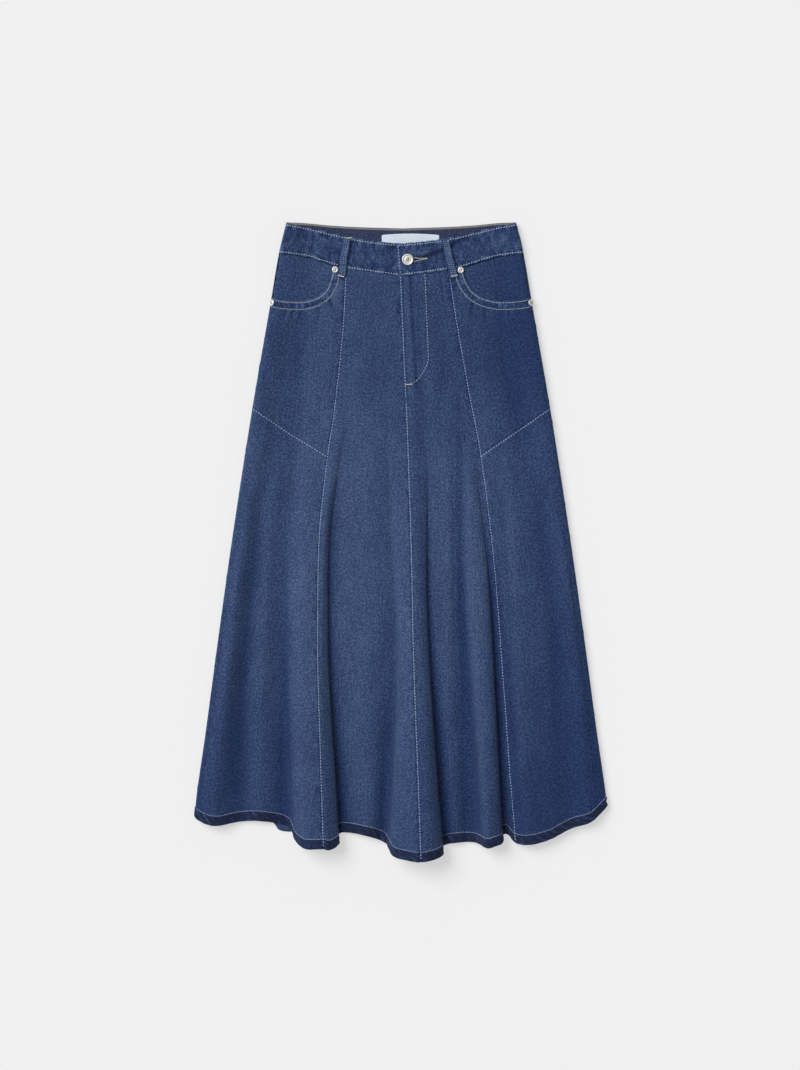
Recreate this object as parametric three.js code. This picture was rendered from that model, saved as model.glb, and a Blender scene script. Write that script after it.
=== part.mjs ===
// A long flared denim skirt laid flat on its back, its front flutes standing up between hip and hem.
// Millimetres. +X is to the right of the front, +Y runs from hem to waist, +Z up from the surface it lies on.
// The origin is the middle of the outline, on that surface. Left and right are as seen from above.

import * as THREE from "three";

// Driving dimensions
const LENGTH = 892; // top of the back waistband to the lowest point of the hem
const CLOTH = 1.4; // denim wall
const FACING = 1.2; // wall of the piece that shows inside a pocket mouth
const BAND = 2.4; // waistband wall, cloth turned double
const GAP = 0.3; // between sewn pieces
const FOLD_AT_WAIST = 5.6; // radius of the fold down each side
const FOLD_AT_HEM = 4.6;
const REST = 3.3; // height of the front's upper face where it lies on the back
const REST_AT_WAIST = 5.0; // room for the facing behind the pocket mouth
const BAND_REST = 5.8; // height of the front waistband's upper face
const HEM_DEPTH = 13.5; // turned hem, one row of stitching
const HEM_RAISE = 0.8;
const FLY_LENGTH = 154; // from waist seam to the bar at the end of the zip
const FLY_WIDTH = 36;
const FLY_RAISE = 0.9; // the fly's facing under the cloth
const FLY_LIFT = 1.4; // the whole front over the zip, at the waist
const UNDERLAP = 22; // the left waistband's end under the right one
const BAND_LEAN = 3.6; // how far the right end of the waistband leans over at its top
const LOOP_WIDTH = 11.4;
const LOOP_WALL = 1.8;
const LOOP_RISE = 1.2; // room for a belt under a loop that lies flat
const BUTTON_RADIUS = 8;
const RIVET_RADIUS = 4.3;
const LABEL = { width: 80, height: 24, wall: 0.5, middle: 13, top: 15, bow: 2 };

// Half the outline's width, down the garment
const SIDE = [
  { drop: 0, out: 161 },
  { drop: 41.5, out: 171 },
  { drop: 112, out: 183 },
  { drop: 259, out: 208.4 },
  { drop: 450, out: 237.9 },
  { drop: 584, out: 256.6 },
  { drop: 718, out: 274.6 },
  { drop: 807, out: 287.2 },
  { drop: 830, out: 289.4 },
];
// Edges of the waistband, from the middle out to the sides
const FRONT_TOP = [
  { out: 0, drop: 30 },
  { out: 40, drop: 26 },
  { out: 74, drop: 20 },
  { out: 100, drop: 14 },
  { out: 130, drop: 7 },
  { out: 161, drop: 1.5 },
];
const BACK_TOP = [
  { out: 0, drop: 8.5 },
  { out: 60, drop: 6.6 },
  { out: 95, drop: 4.6 },
  { out: 140, drop: 0.6 },
  { out: 161, drop: 0 },
];
const WAIST_SEAM = [
  { out: 0, drop: 73.5 },
  { out: 40, drop: 68 },
  { out: 76, drop: 62.5 },
  { out: 100, drop: 56 },
  { out: 132, drop: 46.5 },
  { out: 171, drop: 41.5 },
];
const BACK_SEAM_DROP = 46;

// Long seams of the front: x down the garment, the hem's drop there and the height of the fold it lies on
const PRINCESS_LEFT = {
  top: 62, hem: 874, rise: 30,
  rows: [
    { drop: 62, x: -78 },
    { drop: 128, x: -81 },
    { drop: 180, x: -85.5 },
    { drop: 273, x: -96 },
    { drop: 326, x: -104 },
    { drop: 471, x: -117 },
    { drop: 578, x: -118 },
    { drop: 750, x: -113.5 },
    { drop: 874, x: -109.5 },
  ],
};
const CENTRE = {
  top: 73.5, hem: LENGTH, rise: 35,
  rows: [
    { drop: 73, x: -2.5 },
    { drop: 200, x: 3 },
    { drop: 303, x: 7.5 },
    { drop: 471, x: 12.8 },
    { drop: 600, x: 15.5 },
    { drop: 793, x: 22.5 },
    { drop: 892, x: 26 },
  ],
};
const PRINCESS_RIGHT = {
  top: 64, hem: 867, rise: 6,
  rows: [
    { drop: 62, x: 65 },
    { drop: 123, x: 74 },
    { drop: 226, x: 92 },
    { drop: 325, x: 110.5 },
    { drop: 471, x: 128.5 },
    { drop: 643, x: 142 },
    { drop: 807, x: 154 },
    { drop: 870, x: 160 },
  ],
};
const HEM_AT_SIDE = { left: 828.5, right: 815 };
// Hip panel seams: from the side down to the princess seam
const HIP_SEAM = { side: 257, princess: 326 };

// Folds of the front, left to right in each gore. x is given at the hip, half way down and at the hem,
// rise is the height at the hem and drop is where the hem lies. A rolled fold leans over its own foot.
const HIP_SHARE = 0.28;
const MIDDLE_SHARE = 0.61;
const FOLDS = {
  sideLeft: [
    { hip: -188, middle: -232, hem: -262, rise: 10, drop: 843 },
    { hip: -172, middle: -209, hem: -224, rise: 2, drop: 837 },
    { hip: -158, middle: -189, hem: -196, rise: 5.5, drop: 836.5 },
    { hip: -140, middle: -169, hem: -158, rise: 0.3, drop: 845 },
    { hip: -131, middle: -153, hem: -146, rise: 15, drop: 866 },
    { hip: -118, middle: -138, hem: -133, rise: 29, drop: 874 },
  ],
  centreLeft: [
    { hip: -82, middle: -103, hem: -87, rise: 29, drop: 875.5, rolled: true, footDrop: 853 },
    { hip: -50, middle: -50, hem: -44, rise: 7.5, drop: 858.5 },
    { hip: -22, middle: -11, hem: -23, rise: 0.5, drop: 867 },
    { hip: -11, middle: -1, hem: -10.5, rise: 24, drop: 885 },
    { hip: -1, middle: 8, hem: 7, rise: 31.5, drop: 889.5 },
  ],
  centreRight: [
    { hip: 33, middle: 37, hem: 58.5, rise: 33, drop: 889, rolled: true, footDrop: 870 },
    { hip: 55, middle: 59, hem: 76, rise: 4.5, drop: 867 },
    { hip: 79, middle: 84.5, hem: 96, rise: 1, drop: 866.3 },
    { hip: 86, middle: 95, hem: 107, rise: 12, drop: 869 },
    { hip: 86, middle: 103, hem: 121, rise: 24, drop: 873.5 },
    { hip: 94, middle: 126, hem: 143.5, rise: 24, drop: 871, rolled: true, footDrop: 855 },
  ],
  sideRight: [
    { hip: 124, middle: 154, hem: 178, rise: 14, drop: 869.5 },
    { hip: 150, middle: 183, hem: 208, rise: 11, drop: 862 },
    { hip: 172, middle: 212, hem: 238, rise: 7, drop: 846.5 },
    { hip: 190, middle: 236, hem: 265, rise: 7, drop: 838 },
  ],
};
// A rolled fold's profile: x from its edge where it starts and at the hem, and its height and drop as shares
const ROLL = [
  { start: -4, hem: -13, height: 0.9, drop: 1 },
  { start: 0, hem: 0, height: 0.46, drop: 0.66 },
  { start: 3, hem: -3.5, height: 0.12, drop: 0.26 },
  { start: 6, hem: 3, height: 0, drop: 0 },
];
// Pocket mouth: share of the way from the side to the princess seam, and how far down it lies
const MOUTH = [
  { share: 0, drop: 104 },
  { share: 0.2, drop: 109 },
  { share: 0.42, drop: 110 },
  { share: 0.6, drop: 106 },
  { share: 0.72, drop: 97.5 },
  { share: 0.785, drop: 85 },
  { share: 0.815, drop: 70 },
  { share: 0.825, drop: 60 },
];
const MOUTH_TURN = 0.825; // where the mouth meets the waistband
const FACING_OVERLAP = 11; // how far the facing runs on under the hip panel

// Hem of the back, which stays hidden but for a short piece beside the left flute
const BACK_HEM = [
  { x: -289, drop: 826 },
  { x: -240, drop: 832 },
  { x: -200, drop: 831 },
  { x: -180, drop: 836 },
  { x: -169, drop: 850 },
  { x: -155, drop: 852 },
  { x: -110, drop: 846 },
  { x: -70, drop: 846 },
  { x: -20, drop: 854 },
  { x: 30, drop: 860 },
  { x: 90, drop: 856 },
  { x: 143, drop: 844 },
  { x: 180, drop: 850 },
  { x: 230, drop: 840 },
  { x: 289, drop: 808 },
];
const LOOPS = [
  { name: "belt_loop_left", top: { x: -76.4, drop: 22 }, foot: { x: -83.7, drop: 75.5 } },
  { name: "belt_loop_right", top: { x: 61.3, drop: 23.6 }, foot: { x: 74, drop: 76 } },
];
const RIVETS = [
  { name: "rivet_left_inner", x: -92.6, drop: 65.4 },
  { name: "rivet_right_inner", x: 83.4, drop: 66 },
  { name: "rivet_left_side", x: -181.1, drop: 112 },
  { name: "rivet_right_side", x: 181.1, drop: 112 },
];
const BUTTON = { x: 9, drop: 51.5 };

const DENIM = { color: 0x2f4274, roughness: 0.85, metalness: 0 };
const BRASS = { color: 0xc9c2ae, roughness: 0.35, metalness: 0.9 };
const TAPE = { color: 0xe6edf5, roughness: 0.7, metalness: 0 };

const mix = THREE.MathUtils.lerp;
const clamp = THREE.MathUtils.clamp;
const smooth = THREE.MathUtils.smoothstep;

// A smooth line through a table's rows, which doesn't overshoot them.
function through(rows, across, up) {
  const xs = rows.map((row) => row[across]);
  const ys = rows.map((row) => row[up]);
  const slopes = xs.slice(1).map((x, i) => (ys[i + 1] - ys[i]) / (x - xs[i]));
  const tangents = ys.map((_, i) => {
    if (i === 0) return slopes[0];
    if (i === ys.length - 1) return slopes[i - 1];
    const [before, after] = [slopes[i - 1], slopes[i]];
    return before * after <= 0 ? 0 : (2 * before * after) / (before + after);
  });
  return (at) => {
    const x = clamp(at, xs[0], xs[xs.length - 1]);
    const i = Math.max(0, xs.findIndex((value) => value >= x) - 1);
    const step = xs[i + 1] - xs[i];
    const s = (x - xs[i]) / step;
    const blend = s * s * (3 - 2 * s);
    return (
      mix(ys[i], ys[i + 1], blend) +
      step * s * (1 - s) * ((1 - s) * tangents[i] - s * tangents[i + 1])
    );
  };
}

const sideAt = through(SIDE, "drop", "out");
const frontTopAt = through(FRONT_TOP, "out", "drop");
const backTopAt = through(BACK_TOP, "out", "drop");
const waistSeamAt = through(WAIST_SEAM, "out", "drop");
const mouthAt = through(MOUTH, "share", "drop");
const backHemAt = through(BACK_HEM, "x", "drop");
for (const seam of [PRINCESS_LEFT, CENTRE, PRINCESS_RIGHT]) {
  const xAt = through(seam.rows, "drop", "x");
  seam.at = (t) => xAt(mix(seam.top, seam.hem, t));
}
const SIDE_TOP = WAIST_SEAM[WAIST_SEAM.length - 1].drop;
const LEFT_SIDE = { at: (t) => -sideAt(mix(SIDE_TOP, HEM_AT_SIDE.left, t)) };
const RIGHT_SIDE = { at: (t) => sideAt(mix(SIDE_TOP, HEM_AT_SIDE.right, t)) };
const GORES = {
  sideLeft: [LEFT_SIDE, PRINCESS_LEFT],
  centreLeft: [PRINCESS_LEFT, CENTRE],
  centreRight: [CENTRE, PRINCESS_RIGHT],
  sideRight: [PRINCESS_RIGHT, RIGHT_SIDE],
};

const foldRadius = (t) => mix(FOLD_AT_WAIST, FOLD_AT_HEM, t);
const restAt = (t) => mix(REST_AT_WAIST, REST, smooth(t, 0.1, 0.24));
// How far the folds have grown at share t: nothing at the hip, all at the hem.
function growth(t) {
  const s = Math.max(0, (t - 0.2) / 0.8);
  return (1.08 * s * s) / (s + 0.08);
}
// The cloth is still up near the side folds.
const SIDE_SPREAD = 24;
function sideLift(x, side, radius, rest) {
  const inward = Math.max(0, side - 1.15 * radius - Math.abs(x));
  return (2 * radius - rest) * Math.exp(-((inward / SIDE_SPREAD) ** 2));
}

// A fold's x at share t, kept at the same share of its gore above the hip.
for (const [gore, folds] of Object.entries(FOLDS)) {
  const [from, to] = GORES[gore];
  for (const fold of folds) {
    const stations = [
      { t: HIP_SHARE, x: fold.hip },
      { t: MIDDLE_SHARE, x: fold.middle },
      { t: 1, x: fold.hem },
    ].map(({ t, x }) => ({ t, share: (x - from.at(t)) / (to.at(t) - from.at(t)) }));
    const shareAt = through(stations, "t", "share");
    fold.at = (t) => mix(from.at(t), to.at(t), shareAt(t));
  }
}

// The control points of the side fold, from the seam at its edge to its top.
function sideFold(sign, t, hemDrop) {
  const r = foldRadius(t);
  const side = sign * (sign < 0 ? LEFT_SIDE.at(t) : RIGHT_SIDE.at(t));
  const point = (inward, height, lower) => ({
    x: sign * (side - inward * r),
    z: height * r,
    drop: hemDrop + lower,
  });
  return [point(0.3, 0.3, -1), point(0, 1, 0), point(0.3, 1.7, 3), point(1.15, 2, 7)];
}

// The front's cross-section at share t as runs of control points, one run for each gore, with its neighbours' points
// at both ends so that the spline runs on smoothly through the seams.
const sections = new Map();
function section(t) {
  if (sections.has(t)) return sections.get(t);
  const g = growth(t);
  const rest = restAt(t);
  const height = (x) => {
    const side = x < 0 ? -LEFT_SIDE.at(t) : RIGHT_SIDE.at(t);
    return rest + sideLift(x, side, foldRadius(t), rest);
  };
  const controls = [];
  const seamIndex = {};
  const left = sideFold(-1, t, HEM_AT_SIDE.left);
  controls.push(...left);
  seamIndex.leftSide = 1;
  const addSeam = (name, seam) => {
    seamIndex[name] = controls.length;
    const x = seam.at(t);
    controls.push({ x, z: height(x) + seam.rise * g, drop: seam.hem });
  };
  const addFolds = (folds) => {
    for (const fold of folds) {
      const x = fold.at(t);
      if (!fold.rolled) {
        controls.push({ x, z: height(x) + fold.rise * g, drop: fold.drop });
        continue;
      }
      for (const bend of ROLL) {
        controls.push({
          x: x + mix(bend.start, bend.hem, g),
          z: height(x) + bend.height * fold.rise * g,
          drop: mix(fold.footDrop, fold.drop, bend.drop),
        });
      }
    }
  };
  addFolds(FOLDS.sideLeft);
  addSeam("princessLeft", PRINCESS_LEFT);
  addFolds(FOLDS.centreLeft);
  addSeam("centre", CENTRE);
  addFolds(FOLDS.centreRight);
  addSeam("princessRight", PRINCESS_RIGHT);
  addFolds(FOLDS.sideRight);
  controls.push(...sideFold(1, t, HEM_AT_SIDE.right).reverse());
  seamIndex.rightSide = controls.length - 2;

  const curve = new THREE.CatmullRomCurve3(
    controls.map((c) => new THREE.Vector3(c.x, c.z, c.drop)),
    false,
    "centripetal",
  );
  const ends = [
    ["sideLeft", seamIndex.leftSide, seamIndex.princessLeft],
    ["centreLeft", seamIndex.princessLeft, seamIndex.centre],
    ["centreRight", seamIndex.centre, seamIndex.princessRight],
    ["sideRight", seamIndex.princessRight, seamIndex.rightSide],
  ];
  const made = {};
  const FINE = 6;
  for (const [gore, first, last] of ends) {
    const points = [];
    for (let k = first * FINE; k <= last * FINE; k++) {
      const p = curve.getPoint(k / FINE / (controls.length - 1));
      p.y = Math.max(p.y, Math.min(rest, foldRadius(t)));
      points.push(p);
    }
    const along = [0];
    for (let k = 1; k < points.length; k++) {
      const stepX = points[k].x - points[k - 1].x;
      const stepZ = points[k].y - points[k - 1].y;
      along.push(along[k - 1] + Math.hypot(stepX, stepZ));
    }
    made[gore] = { points, along, fine: FINE };
  }
  sections.set(t, made);
  return made;
}

// A place on a gore's cross-section: x, height and the hem's drop, at a share of the cloth's own width.
function acrossGore(gore, share, t) {
  const { points, along } = section(t)[gore];
  const width = along[along.length - 1];
  const at = clamp(share, 0, 1) * width;
  const k = clamp(along.findIndex((value) => value >= at) - 1, 0, points.length - 2);
  const s = (at - along[k]) / (along[k + 1] - along[k]);
  return points[k].clone().lerp(points[k + 1], s);
}
const goreTop = (gore, share) => waistSeamAt(Math.abs(acrossGore(gore, share, 0).x));

// A point of the front's upper face, at share t of the way from waist to hem.
function frontPoint(gore, share, t) {
  const p = acrossGore(gore, share, t);
  const drop = mix(goreTop(gore, share), p.z, t);
  const lift = gore === "centreRight" ? flyLift(p.x - CENTRE.at(t), drop) : 0;
  return new THREE.Vector3(p.x, -drop, p.y + lift);
}

// The front stands up a little over the zip.
function flyLift(fromCentre, drop) {
  const across = 1 - smooth(fromCentre, FLY_WIDTH * 0.7, FLY_WIDTH * 1.4);
  return FLY_LIFT * across * (1 - smooth(drop, CENTRE.top, CENTRE.top + FLY_LENGTH));
}

// The fly's facing, a J that is straight beside the zip and curves in at its end.
function flyRaise(fromCentre, drop) {
  const below = drop - CENTRE.top;
  const bend = FLY_WIDTH;
  const left = clamp((FLY_LENGTH - below) / bend, 0, 1);
  const width = FLY_WIDTH * Math.sqrt(1 - (1 - left) ** 2);
  return below > FLY_LENGTH ? 0 : FLY_RAISE * (1 - smooth(fromCentre, width - 2, width + 2));
}

function frontNormal(gore, share, t) {
  const e = 0.004;
  const across = frontPoint(gore, Math.min(1, share + e), t).sub(
    frontPoint(gore, Math.max(0, share - e), t),
  );
  const down = frontPoint(gore, share, Math.min(1, t + e)).sub(
    frontPoint(gore, share, Math.max(0, t - e)),
  );
  return down.cross(across).normalize();
}

// A closed wall from two grids of points, row by row: the outer face and the inner one.
function wall(outer, inner) {
  const rows = outer.length;
  const cols = outer[0].length;
  const positions = [...outer.flat(), ...inner.flat()].flatMap((p) => [p.x, p.y, p.z]);
  const index = [];
  const out = (i, j) => i * cols + j;
  const into = (i, j) => rows * cols + i * cols + j;
  const quad = (a, b, c, d) => index.push(a, b, c, a, c, d);
  for (let i = 0; i < rows - 1; i++) {
    for (let j = 0; j < cols - 1; j++) {
      quad(out(i, j), out(i + 1, j), out(i + 1, j + 1), out(i, j + 1));
      quad(into(i, j), into(i, j + 1), into(i + 1, j + 1), into(i + 1, j));
    }
  }
  for (let j = 0; j < cols - 1; j++) {
    quad(out(0, j), out(0, j + 1), into(0, j + 1), into(0, j));
    quad(out(rows - 1, j + 1), out(rows - 1, j), into(rows - 1, j), into(rows - 1, j + 1));
  }
  for (let i = 0; i < rows - 1; i++) {
    quad(out(i + 1, 0), out(i, 0), into(i, 0), into(i + 1, 0));
    quad(out(i, cols - 1), out(i + 1, cols - 1), into(i + 1, cols - 1), into(i, cols - 1));
  }
  const geometry = new THREE.BufferGeometry();
  geometry.setAttribute("position", new THREE.Float32BufferAttribute(positions, 3));
  geometry.setIndex(index);
  geometry.computeVertexNormals();
  return geometry;
}

const skirt = new THREE.Group();
function add(name, geometry, finish) {
  const mesh = new THREE.Mesh(geometry, new THREE.MeshStandardMaterial(finish));
  mesh.name = name;
  skirt.add(mesh);
  return mesh;
}

// Column shares of a gore: even steps between the fold lines of the hem, so that tight bends get more of them.
function columnShares(gore, stepsPerFold) {
  const { along, fine } = section(1)[gore];
  const width = along[along.length - 1];
  const shares = [];
  const intervals = (along.length - 1) / fine;
  for (let k = 0; k <= intervals * stepsPerFold; k++) {
    shares.push(along[Math.round((k / stepsPerFold) * fine)] / width);
  }
  return shares;
}

// A front panel: columns by share, and for each column the rows from tTop to tFoot.
function frontPanel(name, gore, shares, rows, topOf, footOf, options = {}) {
  const { under = 0, thick = CLOTH, raise = () => 0 } = options;
  const outer = [];
  const inner = [];
  for (const row of rows) {
    const outerRow = [];
    const innerRow = [];
    for (const share of shares) {
      const t = mix(topOf(share), footOf(share), row);
      const { along } = section(t)[gore];
      const inset = GAP / 2 / along[along.length - 1];
      const at = mix(inset, 1 - inset, share);
      const p = frontPoint(gore, at, t);
      const n = frontNormal(gore, at, t);
      outerRow.push(p.clone().addScaledVector(n, raise(p, t) - under));
      innerRow.push(p.clone().addScaledVector(n, -under - thick));
    }
    outer.push(outerRow);
    inner.push(innerRow);
  }
  add(name, wall(outer, inner), DENIM);
}

const even = (count) => Array.from({ length: count + 1 }, (_, i) => i / count);
const PANEL_LENGTH = 800; // from waist seam to hem, near enough to turn a gap into a share
const halfGap = GAP / 2 / PANEL_LENGTH;
const hemShare = HEM_DEPTH / PANEL_LENGTH;
const stepShare = 1 / PANEL_LENGTH;
// Rows down a panel that ends in the turned hem, with the hem's step as two close rows.
const rowsToHem = (count) => [
  ...even(count).slice(0, -1),
  1 - hemShare - stepShare,
  1 - hemShare,
  1,
];
const hemRaise = (p, t) => (t >= 1 - hemShare - 1e-6 ? HEM_RAISE : 0);

frontPanel("front_centre_left", "centreLeft", columnShares("centreLeft", 3), rowsToHem(18),
  () => halfGap, () => 1, { raise: hemRaise });
frontPanel("front_centre_right", "centreRight", columnShares("centreRight", 2), rowsToHem(20),
  () => halfGap, () => 1,
  { raise: (p, t) => hemRaise(p, t) + flyRaise(p.x - CENTRE.at(t), -p.y) });

// The hip seam at a share across a side gore, as a share of the way from waist to hem.
function hipSeamShare(gore, share) {
  const outward = gore === "sideLeft" ? 1 - share : share;
  const drop = mix(HIP_SEAM.princess, HIP_SEAM.side, outward);
  let t = 0.3;
  for (let pass = 0; pass < 5; pass++) {
    t += (drop + frontPoint(gore, share, t).y) / PANEL_LENGTH;
  }
  return t;
}
for (const [side, gore] of [["left", "sideLeft"], ["right", "sideRight"]]) {
  const fromSide = (share) => (gore === "sideLeft" ? share : 1 - share);
  const shares = columnShares(gore, 2);
  frontPanel(`front_side_${side}`, gore, shares, rowsToHem(13),
    (share) => hipSeamShare(gore, share) + halfGap, () => 1, { raise: hemRaise });

  // The hip panel's upper edge follows the pocket mouth, then the waist seam.
  const topAt = (share) => goreTop(gore, share);
  const asShare = (share, drop) => {
    let t = 0.05;
    for (let pass = 0; pass < 5; pass++) {
      t += (drop + frontPoint(gore, share, t).y) / PANEL_LENGTH;
    }
    return t;
  };
  const mouth = (share) =>
    fromSide(share) < MOUTH_TURN && mouthAt(fromSide(share)) > topAt(share)
      ? Math.max(halfGap, asShare(share, mouthAt(fromSide(share))))
      : halfGap;
  const hipColumns = [0, 0.02, 0.05, 0.09, 0.18, 0.3, 0.42, 0.52, 0.61, 0.68, 0.73, 0.765, 0.79, 0.806,
    0.817, 0.826, 0.86, 0.93, 1];
  const hipShares = hipColumns.map(fromSide).sort((a, b) => a - b);
  frontPanel(`hip_${side}`, gore, hipShares, even(8), mouth,
    (share) => hipSeamShare(gore, share) - halfGap);

  const facingColumns = [0, 0.02, 0.05, 0.09, 0.18, 0.3, 0.42, 0.52, 0.61, 0.7, 0.79, 0.88];
  const facingShares = facingColumns.map(fromSide).sort((a, b) => a - b);
  frontPanel(`pocket_facing_${side}`, gore, facingShares, even(5), () => halfGap,
    (share) => asShare(share, Math.max(mouthAt(Math.min(fromSide(share), MOUTH_TURN)),
      topAt(share)) + FACING_OVERLAP),
    { under: CLOTH + 1.5 * GAP, thick: FACING });
}

// The front waistband's upper face: z at a point, flat in the middle and turned down at the side fold.
function bandPoint(sign, share, row, lift = 0) {
  const r = FOLD_AT_WAIST;
  const bow = (r * Math.PI) / 2;
  const outAt = (side) => {
    const past = share * (side - r + bow) - (side - r);
    return past <= 0 ? side - r + past : side - r + r * Math.sin(past / r);
  };
  const topDrop = frontTopAt(outAt(sideAt(0)));
  const seamDrop = waistSeamAt(outAt(sideAt(SIDE_TOP))) - 1.3 * GAP;
  const drop = mix(topDrop, seamDrop, row);
  const flat = sideAt(drop) - r;
  const along = share * (flat + bow);
  if (along <= flat) {
    const z = BAND_REST + lift + (2 * r - BAND_REST) * Math.exp(-(((flat - along) / SIDE_SPREAD) ** 2));
    return { p: new THREE.Vector3(sign * along, -drop, z), n: new THREE.Vector3(0, 0, 1) };
  }
  const angle = ((along - flat) / bow) * (Math.PI / 2);
  const n = new THREE.Vector3(sign * Math.sin(angle), 0, Math.cos(angle));
  return { p: new THREE.Vector3(sign * flat, -drop, r).addScaledVector(n, r), n };
}

// A stretch of the waistband between two signed shares, -1 at the left side fold and 1 at the right one.
// Its first end may lean out towards the top by a share.
function bandPanel(name, from, to, count, lean, overlap) {
  const outer = [];
  const inner = [];
  for (const row of even(3)) {
    const outerRow = [];
    const innerRow = [];
    for (const s of even(count)) {
      const share = mix(from - lean * (1 - row), to, s);
      const { p, n } = bandPoint(Math.sign(share) || 1, Math.abs(share), row, overlap(share));
      outerRow.push(p);
      innerRow.push(p.clone().addScaledVector(n, -BAND));
    }
    outer.push(outerRow);
    inner.push(innerRow);
  }
  add(name, wall(outer, inner), DENIM);
}
const bandWidth = sideAt(20) + (Math.PI / 2 - 1) * FOLD_AT_WAIST;
const edgeShare = 1 - GAP / 2 / bandWidth;
const openingShare = CENTRE.at(0) / bandWidth;
const underlapShare = UNDERLAP / bandWidth;
bandPanel("waistband_left", -edgeShare, underlapShare, 22, 0, () => 0);
bandPanel("waistband_right", openingShare, edgeShare, 22, BAND_LEAN / bandWidth, (share) =>
  (BAND + GAP) * (1 - smooth(share, 1.15 * underlapShare, 2.4 * underlapShare)));

// Back pieces lie on the surface and turn up to the side fold: x out from the middle, then round the fold.
function backPoint(share, drop, radius, side) {
  const sign = Math.sign(share) || 1;
  const flat = side - radius;
  const bow = (radius * Math.PI) / 2;
  const along = Math.abs(share) * (flat + bow);
  if (along <= flat) {
    return { p: new THREE.Vector3(sign * along, -drop, 0), n: new THREE.Vector3(0, 0, -1) };
  }
  const angle = ((along - flat) / bow) * (Math.PI / 2);
  const n = new THREE.Vector3(sign * Math.sin(angle), 0, -Math.cos(angle));
  return { p: new THREE.Vector3(sign * flat, -drop, radius).addScaledVector(n, radius), n };
}

// A back panel: its lower face is the outer one, so the columns run the other way.
function backPanel(name, shares, rows, topOf, footOf, thick) {
  const outer = [];
  const inner = [];
  for (const row of rows) {
    const outerRow = [];
    const innerRow = [];
    for (const share of [...shares].reverse()) {
      const top = topOf(share);
      const foot = footOf(share);
      const drop = mix(top, foot, row);
      const t = clamp((drop - BACK_SEAM_DROP) / PANEL_LENGTH, 0, 1);
      const { p, n } = backPoint(share, drop, foldRadius(t), sideAt(drop));
      outerRow.push(p);
      innerRow.push(p.clone().addScaledVector(n, -thick));
    }
    outer.push(outerRow);
    inner.push(innerRow);
  }
  add(name, wall(outer, inner), DENIM);
}
const halfShares = [0, 0.12, 0.24, 0.36, 0.48, 0.6, 0.72, 0.82, 0.9, 0.95, 0.97, 0.985, 1];
const seamInset = GAP / 2 / sideAt(0);
const halfPanel = (sign) =>
  halfShares.map((s) => sign * mix(seamInset, 1 - seamInset, s)).sort((a, b) => a - b);
const hemDropAt = (share) => backHemAt(share * sideAt(HEM_AT_SIDE.left));
for (const [name, sign] of [["back_left", -1], ["back_right", 1]]) {
  backPanel(name, halfPanel(sign), even(12), () => BACK_SEAM_DROP + GAP / 2, hemDropAt, CLOTH);
}
const bandShares = [...halfPanel(-1).filter((s) => s < -0.1), 0, ...halfPanel(1).filter((s) => s > 0.1)];
backPanel("waistband_back", bandShares, even(2), (share) => backTopAt(Math.abs(share) * sideAt(0)),
  () => BACK_SEAM_DROP - GAP / 2, BAND);

// A point of the front's upper face under a place given by x and drop, found by walking the surface.
function onFront(x, drop) {
  const seamDrop = waistSeamAt(Math.abs(x));
  if (drop < seamDrop) {
    let share = Math.abs(x) / bandWidth;
    const row = (drop - frontTopAt(Math.abs(x))) / (seamDrop - frontTopAt(Math.abs(x)));
    for (let pass = 0; pass < 8; pass++) {
      share += (Math.abs(x) - Math.abs(bandPoint(1, share, row).p.x)) / bandWidth;
    }
    return bandPoint(Math.sign(x), share, row);
  }
  let t = 0.05;
  for (let pass = 0; pass < 6; pass++) {
    const gore = Object.keys(GORES).find((name) => x <= GORES[name][1].at(t)) ?? "sideRight";
    let low = 0;
    let high = 1;
    for (let halving = 0; halving < 20; halving++) {
      const middle = (low + high) / 2;
      if (frontPoint(gore, middle, t).x < x) low = middle;
      else high = middle;
    }
    const p = frontPoint(gore, low, t);
    if (pass === 5) return { p, n: frontNormal(gore, low, t) };
    t = clamp(t + (drop + p.y) / PANEL_LENGTH, 0, 1);
  }
}

// A belt loop: a strip that follows the waistband, tacked down at both ends.
function beltLoop({ name, top, foot }) {
  const stations = even(9);
  const outer = [];
  const inner = [];
  for (const s of stations) {
    const drop = mix(top.drop, foot.drop, s);
    const middle = mix(top.x, foot.x, s);
    const level = Math.max(...[-1, 0, 1].map((e) => onFront(middle + (e * LOOP_WIDTH) / 2, drop).p.z));
    const above = level + GAP + 0.1 + LOOP_RISE * Math.sin(Math.PI * s) ** 0.6;
    const outerRow = [];
    const innerRow = [];
    for (const e of [-1, -0.6, 0, 0.6, 1]) {
      const x = middle + (e * LOOP_WIDTH) / 2;
      const crown = 0.35 * (1 - e * e);
      outerRow.push(new THREE.Vector3(x, -drop, above + LOOP_WALL + crown - 0.35));
      innerRow.push(new THREE.Vector3(x, -drop, above));
    }
    outer.push(outerRow);
    inner.push(innerRow);
  }
  add(name, wall(outer, inner), DENIM);
}
LOOPS.forEach(beltLoop);

// Turned metal: a profile of radius and height, round the piece's own axis, which lies on +Z.
function turned(profile, sides) {
  const geometry = new THREE.LatheGeometry(profile.map(([r, h]) => new THREE.Vector2(r, h)), sides);
  geometry.rotateX(Math.PI / 2);
  return geometry;
}
const buttonProfile = [
  [0, 0], [6.6, 0], [BUTTON_RADIUS, 0.8], [BUTTON_RADIUS, 1.7], [7.2, 2.5], [6.3, 2.5], [5.4, 1.9], [2.1, 1.6],
  [1.7, 2.3], [0, 2.6],
];
const rivetProfile = [
  [0, 0], [RIVET_RADIUS, 0], [RIVET_RADIUS, 0.5], [3.4, 1.2], [2.3, 1.2], [1.7, 0.8], [1.2, 1.5], [0, 1.8],
];
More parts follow.
